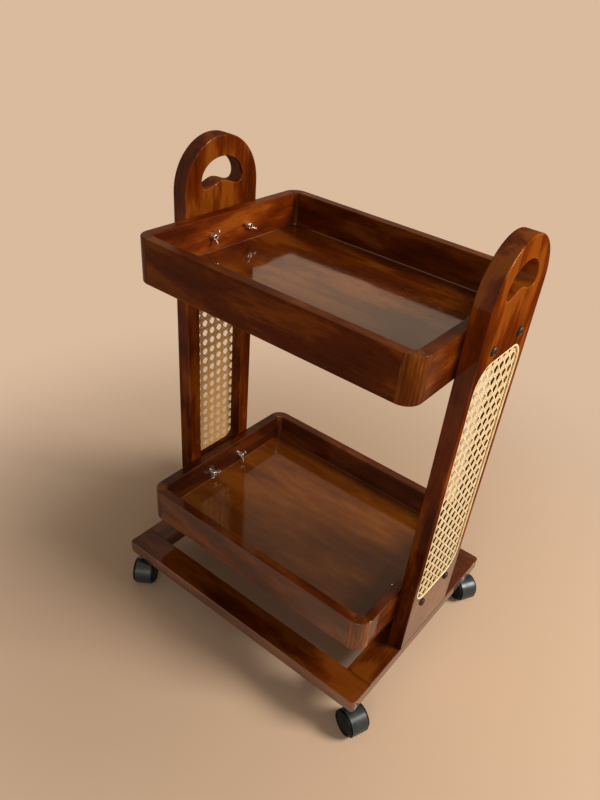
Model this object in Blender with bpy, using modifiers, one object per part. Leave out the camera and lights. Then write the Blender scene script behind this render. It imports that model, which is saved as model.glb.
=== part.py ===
"""A rolling bar cart, built piece by piece in metres with +Z up.

Two boxed trays are bolted between two arched side panels. The panels stand in
mortises of a four-rail frame, and four twin-wheel swivel casters carry it.
X runs along the cart, Y from the front to the back, and the origin is on the
floor under the middle of the frame.
"""

import math

import bmesh
import bpy
from mathutils import Matrix

# Clearances
GLUE_GAP = 0.0003  # between faces that are glued, bolted or seated on each other
RUNNING_GAP = 0.0003  # round bolts, stems and pins in their holes
OVERRUN = 0.004  # how far a cutter passes the face that it starts from
MERGE_DISTANCE = 0.00002  # points closer than this are one point

# Base frame
BASE_LENGTH = 0.600
BASE_DEPTH = 0.490
BASE_THICKNESS = 0.028
RAIL_WIDTH = 0.055
BASE_CORNER_RADIUS = 0.007

# Side panels, measured up from the top of the base frame
PANEL_WIDTH = 0.178
PANEL_HEIGHT = 0.801
PANEL_THICKNESS = 0.030
TENON_WIDTH = 0.036
TENON_THICKNESS = 0.012
TENON_DEPTH = 0.018
TENON_ROOT = 0.010
TENON_SPREAD = 0.090

# Hand hole in the arch of each panel
HAND_HOLE_WIDTH = 0.100
HAND_HOLE_HEIGHT = 0.0485
HAND_HOLE_LOBE_RADIUS = 0.012
HAND_HOLE_HUMP = 0.009
HAND_HOLE_RISE = 0.0055  # from the centre of the arch up to the hole's lobes

# Rebate for the cane in each panel's outer face, with the window behind it
PANEL_STILE = 0.011  # from the rebate out to the panel's edge
REBATE_ABOVE_BOLTS = 0.0115  # from the lower tray's bolts up to the rebate
REBATE_BELOW_BOLTS = 0.0215  # from the upper tray's bolts down to the rebate
REBATE_RADIUS = 0.040
REBATE_DEPTH = 0.005
LEDGE_WIDTH = 0.019
WINDOW_RADIUS = 0.018

# Cane sheet and the reed that holds its edge
CANE_THICKNESS = 0.0016
CANE_COLUMNS = 7
CANE_ROWS = 23
CANE_SIDE_MARGIN = 0.0098
CANE_TOP_MARGIN = 0.017
CANE_FOOT_MARGIN = 0.0014
CANE_HOLE_RADIUS = 0.0055
CANE_LEAST_EDGE = 0.004
REED_WIDTH = 0.0045
REED_THICKNESS = 0.0025

# Trays, whose length fills the space between the panels
TRAY_DEPTH = 0.408
TRAY_WALL = 0.020
TRAY_CORNER_RADIUS = 0.028
TRAY_FLOOR_THICKNESS = 0.015
UPPER_TRAY_HEIGHT = 0.077
UPPER_RIM_DROP = 0.123  # from the top of the panels down to the rim
UPPER_BOLT_LIFT = 0.028  # from the tray's floor up to the bolts
LOWER_TRAY_HEIGHT = 0.073
LOWER_RIM_RISE = 0.147  # from the top of the base frame up to the rim
LOWER_BOLT_LIFT = 0.016

# Bolts through the panels and the trays' end walls
BOLT_RADIUS = 0.003
BOLT_SPREAD = 0.090
BOLT_HEAD_RADIUS = 0.008
BOLT_HEAD_HEIGHT = 0.0035
BOLT_CROWN_SHARE = 0.6
BOLT_RIM_SHARE = 0.4
SOCKET_RADIUS = 0.0029
SOCKET_DEPTH = 0.002

# Wing nuts on the bolts, inside the trays
NUT_HEIGHT = 0.009
NUT_BASE_RADIUS = 0.0068
NUT_TOP_RADIUS = 0.0055
NUT_RECESS = 0.001  # how far the bolt's end stays below the nut's top
WING_SPAN = 0.029
WING_RADIUS = 0.0042
WING_THICKNESS = 0.0024
WING_ROOT_RADIUS = 0.0042
WING_ROOT_HEIGHT = 0.005
WING_TIP_HEIGHT = 0.0105
WING_TURN_DEGREES = {
    ("upper", "left", "front"): 78,
    ("upper", "left", "back"): -32,
    ("upper", "right", "front"): 25,
    ("upper", "right", "back"): 110,
    ("lower", "left", "front"): 15,
    ("lower", "left", "back"): 69,
    ("lower", "right", "front"): 140,
    ("lower", "right", "back"): 50,
}

# Casters
CASTER_HEIGHT = 0.069
CASTER_TRAIL = 0.021
CASTER_INSET_X = 0.024
CASTER_INSET_Y = 0.025
CASTER_TURN_DEGREES = {
    ("left", "front"): -55,
    ("left", "back"): 135,
    ("right", "front"): -22,
    ("right", "back"): -30,
}
STEM_RADIUS = 0.0055
STEM_LENGTH = 0.021
COLLAR_RADIUS = 0.011
COLLAR_THICKNESS = 0.002
KINGPIN_RADIUS = 0.004
KINGPIN_LENGTH = 0.020
WHEEL_RADIUS = 0.0265
WHEEL_WIDTH = 0.015
WHEEL_EDGE = 0.002
WHEEL_HUB_RADIUS = 0.0075
WHEEL_RIM = 0.005
WHEEL_DISH = 0.002
AXLE_RADIUS = 0.0035
HOOD_WIDTH = 0.034
HOOD_WALL = 0.0022
HOOD_CLEARANCE = 0.0009  # from the tread out to the hood
HOOD_FIRST_DEGREES = -45
HOOD_LAST_DEGREES = 128
WEB_THICKNESS = 0.0144
BOSS_RADIUS = 0.0085
BOSS_DEPTH = 0.022
WEB_HUB_RADIUS = 0.011
WEB_LAST_DEGREES = 100
WEB_FIRST_DEGREES = -32
WEB_HUB_FIRST_DEGREES = -60
WEB_HUB_LAST_DEGREES = -150

# How finely round outlines are cut
CORNER_STEPS = 6
POST_STEPS = 6
ARCH_STEPS = 24
BOLT_STEPS = 12
WHEEL_STEPS = 20
HOOD_STEPS = 12
WING_ROOT_STEPS = 4
SOCKET_SIDES = 6
CANE_SIDES = 6
SMOOTH_DEGREES = 35

# Levels and half sizes that more than one piece uses
BASE_TOP = CASTER_HEIGHT + BASE_THICKNESS
BASE_MIDDLE = CASTER_HEIGHT + BASE_THICKNESS / 2
PANEL_BOTTOM = BASE_TOP + GLUE_GAP
PANEL_MIDDLE_X = BASE_LENGTH / 2 - PANEL_THICKNESS / 2
TRAY_HALF_LENGTH = BASE_LENGTH / 2 - PANEL_THICKNESS - GLUE_GAP
TRAY_HALF_DEPTH = TRAY_DEPTH / 2
UPPER_RIM_RISE = PANEL_HEIGHT - UPPER_RIM_DROP
UPPER_BOLT_RISE = UPPER_RIM_RISE - UPPER_TRAY_HEIGHT + TRAY_FLOOR_THICKNESS + UPPER_BOLT_LIFT
LOWER_BOLT_RISE = LOWER_RIM_RISE - LOWER_TRAY_HEIGHT + TRAY_FLOOR_THICKNESS + LOWER_BOLT_LIFT
REBATE_WIDTH = PANEL_WIDTH - 2 * PANEL_STILE
REBATE_RISE = LOWER_BOLT_RISE + REBATE_ABOVE_BOLTS
REBATE_HEIGHT = UPPER_BOLT_RISE - REBATE_BELOW_BOLTS - REBATE_RISE
REBATE_MIDDLE_Z = BASE_TOP + REBATE_RISE + REBATE_HEIGHT / 2
CANE_COLUMN_PITCH = (REBATE_WIDTH - 2 * CANE_SIDE_MARGIN) / CANE_COLUMNS
CANE_ROW_PITCH = (REBATE_HEIGHT - CANE_TOP_MARGIN - CANE_FOOT_MARGIN) / CANE_ROWS
CANE_MIDDLE_RISE = (CANE_FOOT_MARGIN - CANE_TOP_MARGIN) / 2
REBATE_FLOOR_X = BASE_LENGTH / 2 - REBATE_DEPTH
KINGPIN_X = BASE_LENGTH / 2 - CASTER_INSET_X
KINGPIN_Y = BASE_DEPTH / 2 - CASTER_INSET_Y
COLLAR_BOTTOM = CASTER_HEIGHT - GLUE_GAP - COLLAR_THICKNESS
HOOD_OUTER_RADIUS = WHEEL_RADIUS + HOOD_CLEARANCE + HOOD_WALL

SIDES = {"left": -1, "right": 1}
ENDS = {"front": -1, "back": 1}
TRAYS = {
    "upper": (UPPER_RIM_RISE, UPPER_TRAY_HEIGHT, UPPER_BOLT_LIFT),
    "lower": (LOWER_RIM_RISE, LOWER_TRAY_HEIGHT, LOWER_BOLT_LIFT),
}
BOLT_RISES = {"upper": UPPER_BOLT_RISE, "lower": LOWER_BOLT_RISE}

# Turns an outline drawn in X and Y so that it stands in Y and Z, facing +X
STANDING = Matrix(((0, 0, 1, 0), (1, 0, 0, 0), (0, 1, 0, 0), (0, 0, 0, 1)))
# Turns an outline drawn in X and Y so that it stands in X and Z, facing -Y
UPRIGHT = Matrix.Rotation(math.pi / 2, 4, "X")


def clear_scene():
    for obj in list(bpy.data.objects):
        bpy.data.objects.remove(obj)


def new_collection(name):
    collection = bpy.data.collections.new(name)
    bpy.context.scene.collection.children.link(collection)
    return collection


def finish(name, colour, roughness, metallic=0.0):
    """A material with one Principled BSDF."""
    material = bpy.data.materials.new(name)
    material.use_nodes = True
    shader = material.node_tree.nodes["Principled BSDF"]
    shader.inputs["Base Color"].default_value = (*colour, 1)
    shader.inputs["Roughness"].default_value = roughness
    shader.inputs["Metallic"].default_value = metallic
    material.diffuse_color = (*colour, 1)
    return material


def arc(centre_x, centre_y, radius, first_degrees, last_degrees, steps):
    """Points of an arc, both ends included."""
    points = []
    for step in range(steps + 1):
        angle = math.radians(first_degrees + (last_degrees - first_degrees) * step / steps)
        points.append((centre_x + radius * math.cos(angle), centre_y + radius * math.sin(angle)))
    return points


def rounded_rectangle(width, height, radius):
    """An outline about the origin with four equal round corners."""
    across = width / 2 - radius
    up = height / 2 - radius
    return (
        arc(across, up, radius, 0, 90, CORNER_STEPS)
        + arc(-across, up, radius, 90, 180, CORNER_STEPS)
        + arc(-across, -up, radius, 180, 270, CORNER_STEPS)
        + arc(across, -up, radius, 270, 360, CORNER_STEPS)
    )


def round_hole(centre_x, centre_y, radius, sides):
    """A regular outline whose flats, not its corners, lie on the radius."""
    reach = radius / math.cos(math.pi / sides)
    return arc(centre_x, centre_y, reach, 0, 360, sides)[:-1]


def moved(points, across, up):
    return [(x + across, y + up) for x, y in points]


def flat_mesh(name, outlines, thickness):
    """A plate about its own plane: the first outline is its edge and the others are holes."""
    curve = bpy.data.curves.new(name, "CURVE")
    curve.dimensions = "2D"
    curve.fill_mode = "BOTH"
    curve.extrude = thickness / 2
    for outline in outlines:
        spline = curve.splines.new("POLY")
        spline.points.add(len(outline) - 1)
        for point, (x, y) in zip(spline.points, outline):
            point.co = (x, y, 0, 1)
        spline.use_cyclic_u = True
    guide = bpy.data.objects.new(name, curve)
    bpy.context.scene.collection.objects.link(guide)
    graph = bpy.context.evaluated_depsgraph_get()
    mesh = bpy.data.meshes.new_from_object(guide.evaluated_get(graph))
    bpy.data.objects.remove(guide)
    bpy.data.curves.remove(curve)
    weld(mesh)
    return mesh


def weld(mesh):
    """Joins a curve's caps to its sides and points the faces outwards."""
    shape = bmesh.new()
    shape.from_mesh(mesh)
    bmesh.ops.remove_doubles(shape, verts=shape.verts, dist=MERGE_DISTANCE)
    bmesh.ops.recalc_face_normals(shape, faces=shape.faces)
    shape.to_mesh(mesh)
    shape.free()


def box_mesh(name, low, high):
    """A box between two corners."""
    size = [top - bottom for bottom, top in zip(low, high)]
    middle = [(top + bottom) / 2 for bottom, top in zip(low, high)]
    shape = bmesh.new()
    bmesh.ops.create_cube(shape, matrix=Matrix.Translation(middle) @ Matrix.Diagonal((*size, 1)))
    mesh = bpy.data.meshes.new(name)
    shape.to_mesh(mesh)
    shape.free()
    return mesh


def pin_mesh(name, radius, bottom, top, sides):
    """An upright cylinder about the Z axis."""
    shape = bmesh.new()
    bmesh.ops.create_cone(
        shape,
        cap_ends=True,
        segments=sides,
        radius1=radius,
        radius2=radius,
        depth=top - bottom,
        matrix=Matrix.Translation((0, 0, (top + bottom) / 2)),
    )
    mesh = bpy.data.meshes.new(name)
    shape.to_mesh(mesh)
    shape.free()
    return mesh


def profile_mesh(name, points, closed):
    """A profile in X and Z, for a Screw modifier to turn about Z."""
    count = len(points)
    edges = [(index, index + 1) for index in range(count - 1)]
    if closed:
        edges.append((count - 1, 0))
    mesh = bpy.data.meshes.new(name)
    mesh.from_pydata([(x, 0, z) for x, z in points], edges, [])
    return mesh


def place(name, mesh, material, matrix=None, parent=None):
    """Puts a mesh in the cart's collection as a named piece."""
    piece = bpy.data.objects.new(name, mesh)
    cart.objects.link(piece)
    if not mesh.materials:
        mesh.materials.append(material)
    piece.parent = parent
    if matrix:
        piece.matrix_local = matrix
    return piece


def place_cutter(name, mesh, matrix=None):
    cutter = bpy.data.objects.new(name, mesh)
    cutters.objects.link(cutter)
    cutter.hide_render = True
    cutter.display_type = "WIRE"
    if matrix:
        cutter.matrix_world = matrix
    return cutter


def combine(piece, other, operation):
    """Cuts another object from the piece, or joins it on."""
    modifier = piece.modifiers.new(other.name, "BOOLEAN")
    modifier.operation = operation
    modifier.solver = "EXACT"
    modifier.object = other


def turn(piece, steps):
    """Sweeps the piece's profile once round its own Z axis."""
    modifier = piece.modifiers.new("turned", "SCREW")
    modifier.axis = "Z"
    modifier.steps = steps
    modifier.render_steps = steps
    modifier.use_merge_vertices = True
    modifier.merge_threshold = MERGE_DISTANCE
    modifier.use_smooth_shade = True


def settled_mesh(piece, helpers=()):
    """The piece's mesh where it lies, modifiers applied. The piece and its helpers are removed."""
    bpy.context.view_layer.update()
    graph = bpy.context.evaluated_depsgraph_get()
    mesh = bpy.data.meshes.new_from_object(piece.evaluated_get(graph))
    mesh.transform(piece.matrix_world)
    for obj in (piece, *helpers):
        bpy.data.objects.remove(obj)
    mesh.shade_smooth()
    mesh.set_sharp_from_angle(angle=math.radians(SMOOTH_DEGREES))
    return mesh


clear_scene()
cart = new_collection("rolling_bar_cart")
cutters = new_collection("cutters")
cutters.hide_render = True

panel_wood = finish("panel_wood", (0.17, 0.045, 0.012), 0.25)
tray_wood = finish("tray_wood", (0.12, 0.03, 0.009), 0.22)
floor_wood = finish("floor_wood", (0.10, 0.025, 0.008), 0.15)
post_wood = finish("post_wood", (0.22, 0.07, 0.015), 0.25)
base_wood = finish("base_wood", (0.10, 0.028, 0.010), 0.25)
cane = finish("cane", (0.80, 0.62, 0.32), 0.55)
reed = finish("reed", (0.82, 0.66, 0.38), 0.5)
black_steel = finish("black_steel", (0.03, 0.03, 0.03), 0.4, 1.0)
nickel = finish("nickel", (0.75, 0.73, 0.68), 0.2, 1.0)
caster_steel = finish("caster_steel", (0.45, 0.45, 0.46), 0.35, 1.0)
hood_plastic = finish("hood_plastic", (0.035, 0.040, 0.042), 0.35)
wheel_plastic = finish("wheel_plastic", (0.02, 0.02, 0.021), 0.45)


def corner_stem_cutters():
    """Bores in the frame's underside for the caster stems, by corner."""
    top = CASTER_HEIGHT + STEM_LENGTH + GLUE_GAP
    reach = (STEM_RADIUS + RUNNING_GAP) / math.cos(math.pi / BOLT_STEPS)
    bore = pin_mesh("stem_bore", reach, CASTER_HEIGHT - OVERRUN, top, BOLT_STEPS)
    found = {}
    for side, x_sign in SIDES.items():
        for end, y_sign in ENDS.items():
            middle = Matrix.Translation((x_sign * KINGPIN_X, y_sign * KINGPIN_Y, 0))
            found[side, end] = place_cutter(f"stem_bore_{end}_{side}", bore, middle)
    return found


def long_rail_outline():
    """The back rail seen from above."""
    across = BASE_LENGTH / 2
    outer = BASE_DEPTH / 2
    inner = outer - RAIL_WIDTH
    radius = BASE_CORNER_RADIUS
    return (
        [(-across, inner), (across, inner)]
        + arc(across - radius, outer - radius, radius, 0, 90, CORNER_STEPS)
        + arc(radius - across, outer - radius, radius, 90, 180, CORNER_STEPS)
    )


def short_rail_outline():
    """The right rail seen from above."""
    outer = BASE_LENGTH / 2
    inner = outer - RAIL_WIDTH
    across = BASE_DEPTH / 2
    radius = BASE_CORNER_RADIUS
    return (
        arc(outer - radius, radius - across, radius, 270, 360, CORNER_STEPS)
        + arc(outer - radius, across - radius, radius, 0, 90, CORNER_STEPS)
        + [(inner, across), (inner, -across)]
    )


def lap_box(name, x_sign, y_sign, across, upper):
    """A cutter for half the thickness of a rail at one corner."""
    lap_x = BASE_LENGTH / 2 - RAIL_WIDTH - across[0]
    lap_y = BASE_DEPTH / 2 - RAIL_WIDTH - across[1]
    far_x = BASE_LENGTH / 2 + OVERRUN
    far_y = BASE_DEPTH / 2 + OVERRUN
    if upper:
        levels = (BASE_MIDDLE - GLUE_GAP / 2, BASE_TOP + OVERRUN)
    else:
        levels = (CASTER_HEIGHT - OVERRUN, BASE_MIDDLE + GLUE_GAP / 2)
    xs = sorted((x_sign * lap_x, x_sign * far_x))
    ys = sorted((y_sign * lap_y, y_sign * far_y))
    low = (xs[0], ys[0], levels[0])
    high = (xs[1], ys[1], levels[1])
    return place_cutter(name, box_mesh(name, low, high))


def mortise_cutters(side, x_sign):
    """Pockets in a short rail for the tenons of the panel above it."""
    half_thick = TENON_THICKNESS / 2 + GLUE_GAP
    half_wide = TENON_WIDTH / 2 + GLUE_GAP
    bottom = PANEL_BOTTOM - TENON_DEPTH - GLUE_GAP
    found = []
    for end, y_sign in ENDS.items():
        x = x_sign * PANEL_MIDDLE_X
        y = y_sign * TENON_SPREAD / 2
        low = (x - half_thick, y - half_wide, bottom)
        high = (x + half_thick, y + half_wide, BASE_TOP + OVERRUN)
        name = f"mortise_{end}_{side}"
        found.append(place_cutter(name, box_mesh(name, low, high)))
    return found


def make_base():
    """Four rails, half-lapped at the corners with the long rails on top."""
    bores = corner_stem_cutters()
    long_mesh = flat_mesh("base_long_rail", [long_rail_outline()], BASE_THICKNESS)
    short_mesh = flat_mesh("base_short_rail", [short_rail_outline()], BASE_THICKNESS)
    lift = Matrix.Translation((0, 0, BASE_MIDDLE))
    half_turn = Matrix.Rotation(math.pi, 4, "Z")
    for end, y_sign in ENDS.items():
        matrix = lift if y_sign > 0 else lift @ half_turn
        rail = place(f"base_rail_{end}", long_mesh, base_wood, matrix)
        for side, x_sign in SIDES.items():
            name = f"lower_lap_{end}_{side}"
            combine(rail, lap_box(name, x_sign, y_sign, (GLUE_GAP, OVERRUN), False), "DIFFERENCE")
            combine(rail, bores[side, end], "DIFFERENCE")
    for side, x_sign in SIDES.items():
        matrix = lift if x_sign > 0 else lift @ half_turn
        rail = place(f"base_rail_{side}", short_mesh, base_wood, matrix)
        for end, y_sign in ENDS.items():
            name = f"upper_lap_{end}_{side}"
            combine(rail, lap_box(name, x_sign, y_sign, (OVERRUN, GLUE_GAP), True), "DIFFERENCE")
            combine(rail, bores[side, end], "DIFFERENCE")
        for pocket in mortise_cutters(side, x_sign):
            combine(rail, pocket, "DIFFERENCE")


def hand_hole_outline():
    """An oval grip with two round lobes below and a hump between them."""
    half = HAND_HOLE_WIDTH / 2
    lobe = HAND_HOLE_LOBE_RADIUS
    bottom = PANEL_HEIGHT - PANEL_WIDTH / 2 + HAND_HOLE_RISE
    crown = HAND_HOLE_HEIGHT - lobe
    points = []
    for step in range(ARCH_STEPS):
        angle = math.pi * step / ARCH_STEPS
        points.append((half * math.cos(angle), bottom + lobe + crown * math.sin(angle)))
    points += arc(lobe - half, bottom + lobe, lobe, 180, 270, CORNER_STEPS)
    for step in range(1, ARCH_STEPS // 2):
        share = 2 * step / (ARCH_STEPS // 2) - 1
        lift = HAND_HOLE_HUMP * (1 + math.cos(math.pi * share)) / 2
        points.append((share * (half - lobe), bottom + lift))
    points += arc(half - lobe, bottom + lobe, lobe, 270, 360, CORNER_STEPS)[:-1]
    return points


def panel_outlines():
    """A panel's edge, hand hole, window and bolt holes, from its foot up."""
    half = PANEL_WIDTH / 2
    edge = [(-half, 0), (half, 0)]
    edge += arc(0, PANEL_HEIGHT - half, half, 0, 180, ARCH_STEPS)
    window_width = REBATE_WIDTH - 2 * LEDGE_WIDTH
    window_height = REBATE_HEIGHT - 2 * LEDGE_WIDTH
    window = rounded_rectangle(window_width, window_height, WINDOW_RADIUS)
    window = moved(window, 0, REBATE_MIDDLE_Z - BASE_TOP)
    holes = []
    for rise in BOLT_RISES.values():
        for y_sign in ENDS.values():
            y = y_sign * BOLT_SPREAD / 2
            holes.append(round_hole(y, rise, BOLT_RADIUS + RUNNING_GAP, BOLT_STEPS))
    return [edge, hand_hole_outline(), window, *holes]


def make_panels():
    """The arched panels, their cane sheets and the reeds round the cane."""
    panel_mesh = flat_mesh("side_panel", panel_outlines(), PANEL_THICKNESS)
    rebate_outline = rounded_rectangle(REBATE_WIDTH, REBATE_HEIGHT, REBATE_RADIUS)
    rebate_mesh = flat_mesh("rebate", [rebate_outline], REBATE_DEPTH + OVERRUN)
    cane_mesh = flat_mesh("cane_panel", cane_outlines(), CANE_THICKNESS)
    reed_mesh = flat_mesh("cane_reed", reed_outlines(), REED_THICKNESS)
    rebate_x = REBATE_FLOOR_X + (REBATE_DEPTH + OVERRUN) / 2
    cane_x = REBATE_FLOOR_X + GLUE_GAP + CANE_THICKNESS / 2
    reed_x = cane_x + CANE_THICKNESS / 2 + GLUE_GAP + REED_THICKNESS / 2
    for side, x_sign in SIDES.items():
        foot = Matrix.Translation((x_sign * PANEL_MIDDLE_X, 0, PANEL_BOTTOM))
        panel = place(f"side_panel_{side}", panel_mesh, panel_wood, foot @ STANDING)
        for end, y_sign in ENDS.items():
            combine(panel, tenon(side, end, x_sign, y_sign), "UNION")
        middle = Matrix.Translation((x_sign * rebate_x, 0, REBATE_MIDDLE_Z))
        rebate = place_cutter(f"rebate_{side}", rebate_mesh, middle @ STANDING)
        combine(panel, rebate, "DIFFERENCE")
        middle = Matrix.Translation((x_sign * cane_x, 0, REBATE_MIDDLE_Z))
        place(f"cane_panel_{side}", cane_mesh, cane, middle @ STANDING)
        middle = Matrix.Translation((x_sign * reed_x, 0, REBATE_MIDDLE_Z))
        place(f"cane_reed_{side}", reed_mesh, reed, middle @ STANDING)


def tenon(side, end, x_sign, y_sign):
    """A stub that is joined to a panel's foot."""
    x = x_sign * PANEL_MIDDLE_X
    y = y_sign * TENON_SPREAD / 2
    low = (x - TENON_THICKNESS / 2, y - TENON_WIDTH / 2, PANEL_BOTTOM - TENON_DEPTH)
    high = (x + TENON_THICKNESS / 2, y + TENON_WIDTH / 2, PANEL_BOTTOM + TENON_ROOT)
    name = f"tenon_{end}_{side}"
    return place_cutter(name, box_mesh(name, low, high))


def cane_outlines():
    """The sheet's edge and the holes of its weave."""
    width = REBATE_WIDTH - 2 * GLUE_GAP
    height = REBATE_HEIGHT - 2 * GLUE_GAP
    radius = REBATE_RADIUS - GLUE_GAP
    outlines = [rounded_rectangle(width, height, radius)]
    for column in range(CANE_COLUMNS):
        for row in range(CANE_ROWS):
            across = (column - (CANE_COLUMNS - 1) / 2) * CANE_COLUMN_PITCH
            up = (row - (CANE_ROWS - 1) / 2) * CANE_ROW_PITCH + CANE_MIDDLE_RISE
            if edge_left(across, up, width, height, radius) > CANE_LEAST_EDGE:
                outlines.append(arc(across, up, CANE_HOLE_RADIUS, 0, 360, CANE_SIDES)[:-1])
    return outlines


def edge_left(across, up, width, height, radius):
    """How much cane lies between a hole and the sheet's rounded edge."""
    past_x = max(abs(across) - (width / 2 - radius), 0)
    past_y = max(abs(up) - (height / 2 - radius), 0)
    return radius - math.hypot(past_x, past_y) - CANE_HOLE_RADIUS


def reed_outlines():
    """A flat ring that lies over the edge of the cane."""
    found = []
    for inset in (GLUE_GAP, GLUE_GAP + REED_WIDTH):
        width = REBATE_WIDTH - 2 * inset
        height = REBATE_HEIGHT - 2 * inset
        found.append(rounded_rectangle(width, height, REBATE_RADIUS - inset))
    return found


def post_outline():
    """A quarter ring: the rounded corner of a tray, seen from above."""
    inner_radius = TRAY_CORNER_RADIUS - TRAY_WALL
    outer = arc(0, 0, TRAY_CORNER_RADIUS, 0, 90, POST_STEPS)
    inner = arc(0, 0, inner_radius, 90, 0, POST_STEPS // 2)
    return outer + inner


def make_tray(level, rim_rise, height, bolt_lift):
    """A floor, four walls and four corner posts."""
    bottom = BASE_TOP + rim_rise - height
    middle_z = bottom + height / 2
    name = f"{level}_tray"
    post_x = TRAY_HALF_LENGTH - TRAY_CORNER_RADIUS
    post_y = TRAY_HALF_DEPTH - TRAY_CORNER_RADIUS
    inset = TRAY_WALL + GLUE_GAP
    floor_outline = rounded_rectangle(
        2 * (TRAY_HALF_LENGTH - inset),
        2 * (TRAY_HALF_DEPTH - inset),
        TRAY_CORNER_RADIUS - inset,
    )
    floor_mesh = flat_mesh(f"{name}_floor", [floor_outline], TRAY_FLOOR_THICKNESS)
    floor_middle = Matrix.Translation((0, 0, bottom + TRAY_FLOOR_THICKNESS / 2))
    place(f"{name}_floor", floor_mesh, floor_wood, floor_middle)
    wall_x = post_x - GLUE_GAP
    wall_mesh = box_mesh(
        f"{name}_long_wall",
        (-wall_x, -TRAY_WALL / 2, -height / 2),
        (wall_x, TRAY_WALL / 2, height / 2),
    )
    for end, y_sign in ENDS.items():
        middle = Matrix.Translation((0, y_sign * (TRAY_HALF_DEPTH - TRAY_WALL / 2), middle_z))
        place(f"{name}_wall_{end}", wall_mesh, tray_wood, middle)
    end_mesh = flat_mesh(f"{name}_end_wall", end_wall_outlines(height, bolt_lift), TRAY_WALL)
    for side, x_sign in SIDES.items():
        middle = Matrix.Translation((x_sign * (TRAY_HALF_LENGTH - TRAY_WALL / 2), 0, middle_z))
        place(f"{name}_wall_{side}", end_mesh, tray_wood, middle @ STANDING)
    post_mesh = flat_mesh(f"{name}_post", [post_outline()], height)
    quarters = {("right", "back"): 0, ("left", "back"): 1, ("left", "front"): 2, ("right", "front"): 3}
    for (side, end), quarter in quarters.items():
        corner = Matrix.Translation((SIDES[side] * post_x, ENDS[end] * post_y, middle_z))
        turned = Matrix.Rotation(quarter * math.pi / 2, 4, "Z")
        place(f"{name}_post_{end}_{side}", post_mesh, post_wood, corner @ turned)


def end_wall_outlines(height, bolt_lift):
    """An end wall with two bolt holes, seen along X."""
    half = TRAY_HALF_DEPTH - TRAY_CORNER_RADIUS - GLUE_GAP
    outlines = [[(-half, -height / 2), (half, -height / 2), (half, height / 2), (-half, height / 2)]]
    for y_sign in ENDS.values():
        y = y_sign * BOLT_SPREAD / 2
        z = TRAY_FLOOR_THICKNESS + bolt_lift - height / 2
        outlines.append(round_hole(y, z, BOLT_RADIUS + RUNNING_GAP, BOLT_STEPS))
    return outlines


def bolt_mesh():
    """A domed head with a hexagon socket, above a plain shank."""
    grip = PANEL_THICKNESS + TRAY_WALL + 3 * GLUE_GAP
    length = grip + NUT_HEIGHT - NUT_RECESS
    profile = [
        (0, BOLT_HEAD_HEIGHT),
        (BOLT_HEAD_RADIUS * BOLT_CROWN_SHARE, BOLT_HEAD_HEIGHT),
        (BOLT_HEAD_RADIUS, BOLT_HEAD_HEIGHT * BOLT_RIM_SHARE),
        (BOLT_HEAD_RADIUS, 0),
        (BOLT_RADIUS, 0),
        (BOLT_RADIUS, -length),
        (0, -length),
    ]
    bolt = place("bolt", profile_mesh("bolt", profile, False), black_steel)
    turn(bolt, BOLT_STEPS)
    top = BOLT_HEAD_HEIGHT + OVERRUN
    bottom = BOLT_HEAD_HEIGHT - SOCKET_DEPTH
    socket = place_cutter("socket", pin_mesh("socket", SOCKET_RADIUS, bottom, top, SOCKET_SIDES))
    combine(bolt, socket, "DIFFERENCE")
    return settled_mesh(bolt, [socket])


def wing_outline():
    """A slanted ear with round ends, drawn from the hub outwards."""
    tip_radius = WING_SPAN / 2 - WING_RADIUS
    slope = math.atan2(WING_TIP_HEIGHT - WING_ROOT_HEIGHT, tip_radius - WING_ROOT_RADIUS)
    lean = math.degrees(slope)
    tip = arc(tip_radius, WING_TIP_HEIGHT, WING_RADIUS, lean - 90, lean + 90, CORNER_STEPS)
    root = arc(WING_ROOT_RADIUS, WING_ROOT_HEIGHT, WING_RADIUS, lean + 90, lean + 270, WING_ROOT_STEPS)
    return tip + root


def wing_nut_mesh():
    """A tapered hub with two ears and a bore for the bolt."""
    profile = [(0, NUT_HEIGHT), (NUT_TOP_RADIUS, NUT_HEIGHT), (NUT_BASE_RADIUS, 0), (0, 0)]
    nut = place("wing_nut", profile_mesh("wing_nut", profile, False), nickel)
    turn(nut, BOLT_STEPS)
    ear_mesh = flat_mesh("wing", [wing_outline()], WING_THICKNESS)
    bore_radius = (BOLT_RADIUS + RUNNING_GAP) / math.cos(math.pi / BOLT_STEPS)
    bore_mesh = pin_mesh("nut_bore", bore_radius, -OVERRUN, NUT_HEIGHT + OVERRUN, BOLT_STEPS)
    helpers = [
        place_cutter("wing_one", ear_mesh, UPRIGHT),
        place_cutter("wing_two", ear_mesh, Matrix.Rotation(math.pi, 4, "Z") @ UPRIGHT),
        place_cutter("nut_bore", bore_mesh),
    ]
    for helper in helpers[:2]:
        combine(nut, helper, "UNION")
    combine(nut, helpers[2], "DIFFERENCE")
    return settled_mesh(nut, helpers)


def facing(x_sign, turn_degrees):
    """Turns a piece so that its Z axis points along X, and its X axis leans from +Y to +Z."""
    flat = Matrix.Rotation(math.radians(turn_degrees), 4, "X") @ STANDING
    return flat if x_sign > 0 else flat @ Matrix.Rotation(math.pi, 4, "X")


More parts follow.
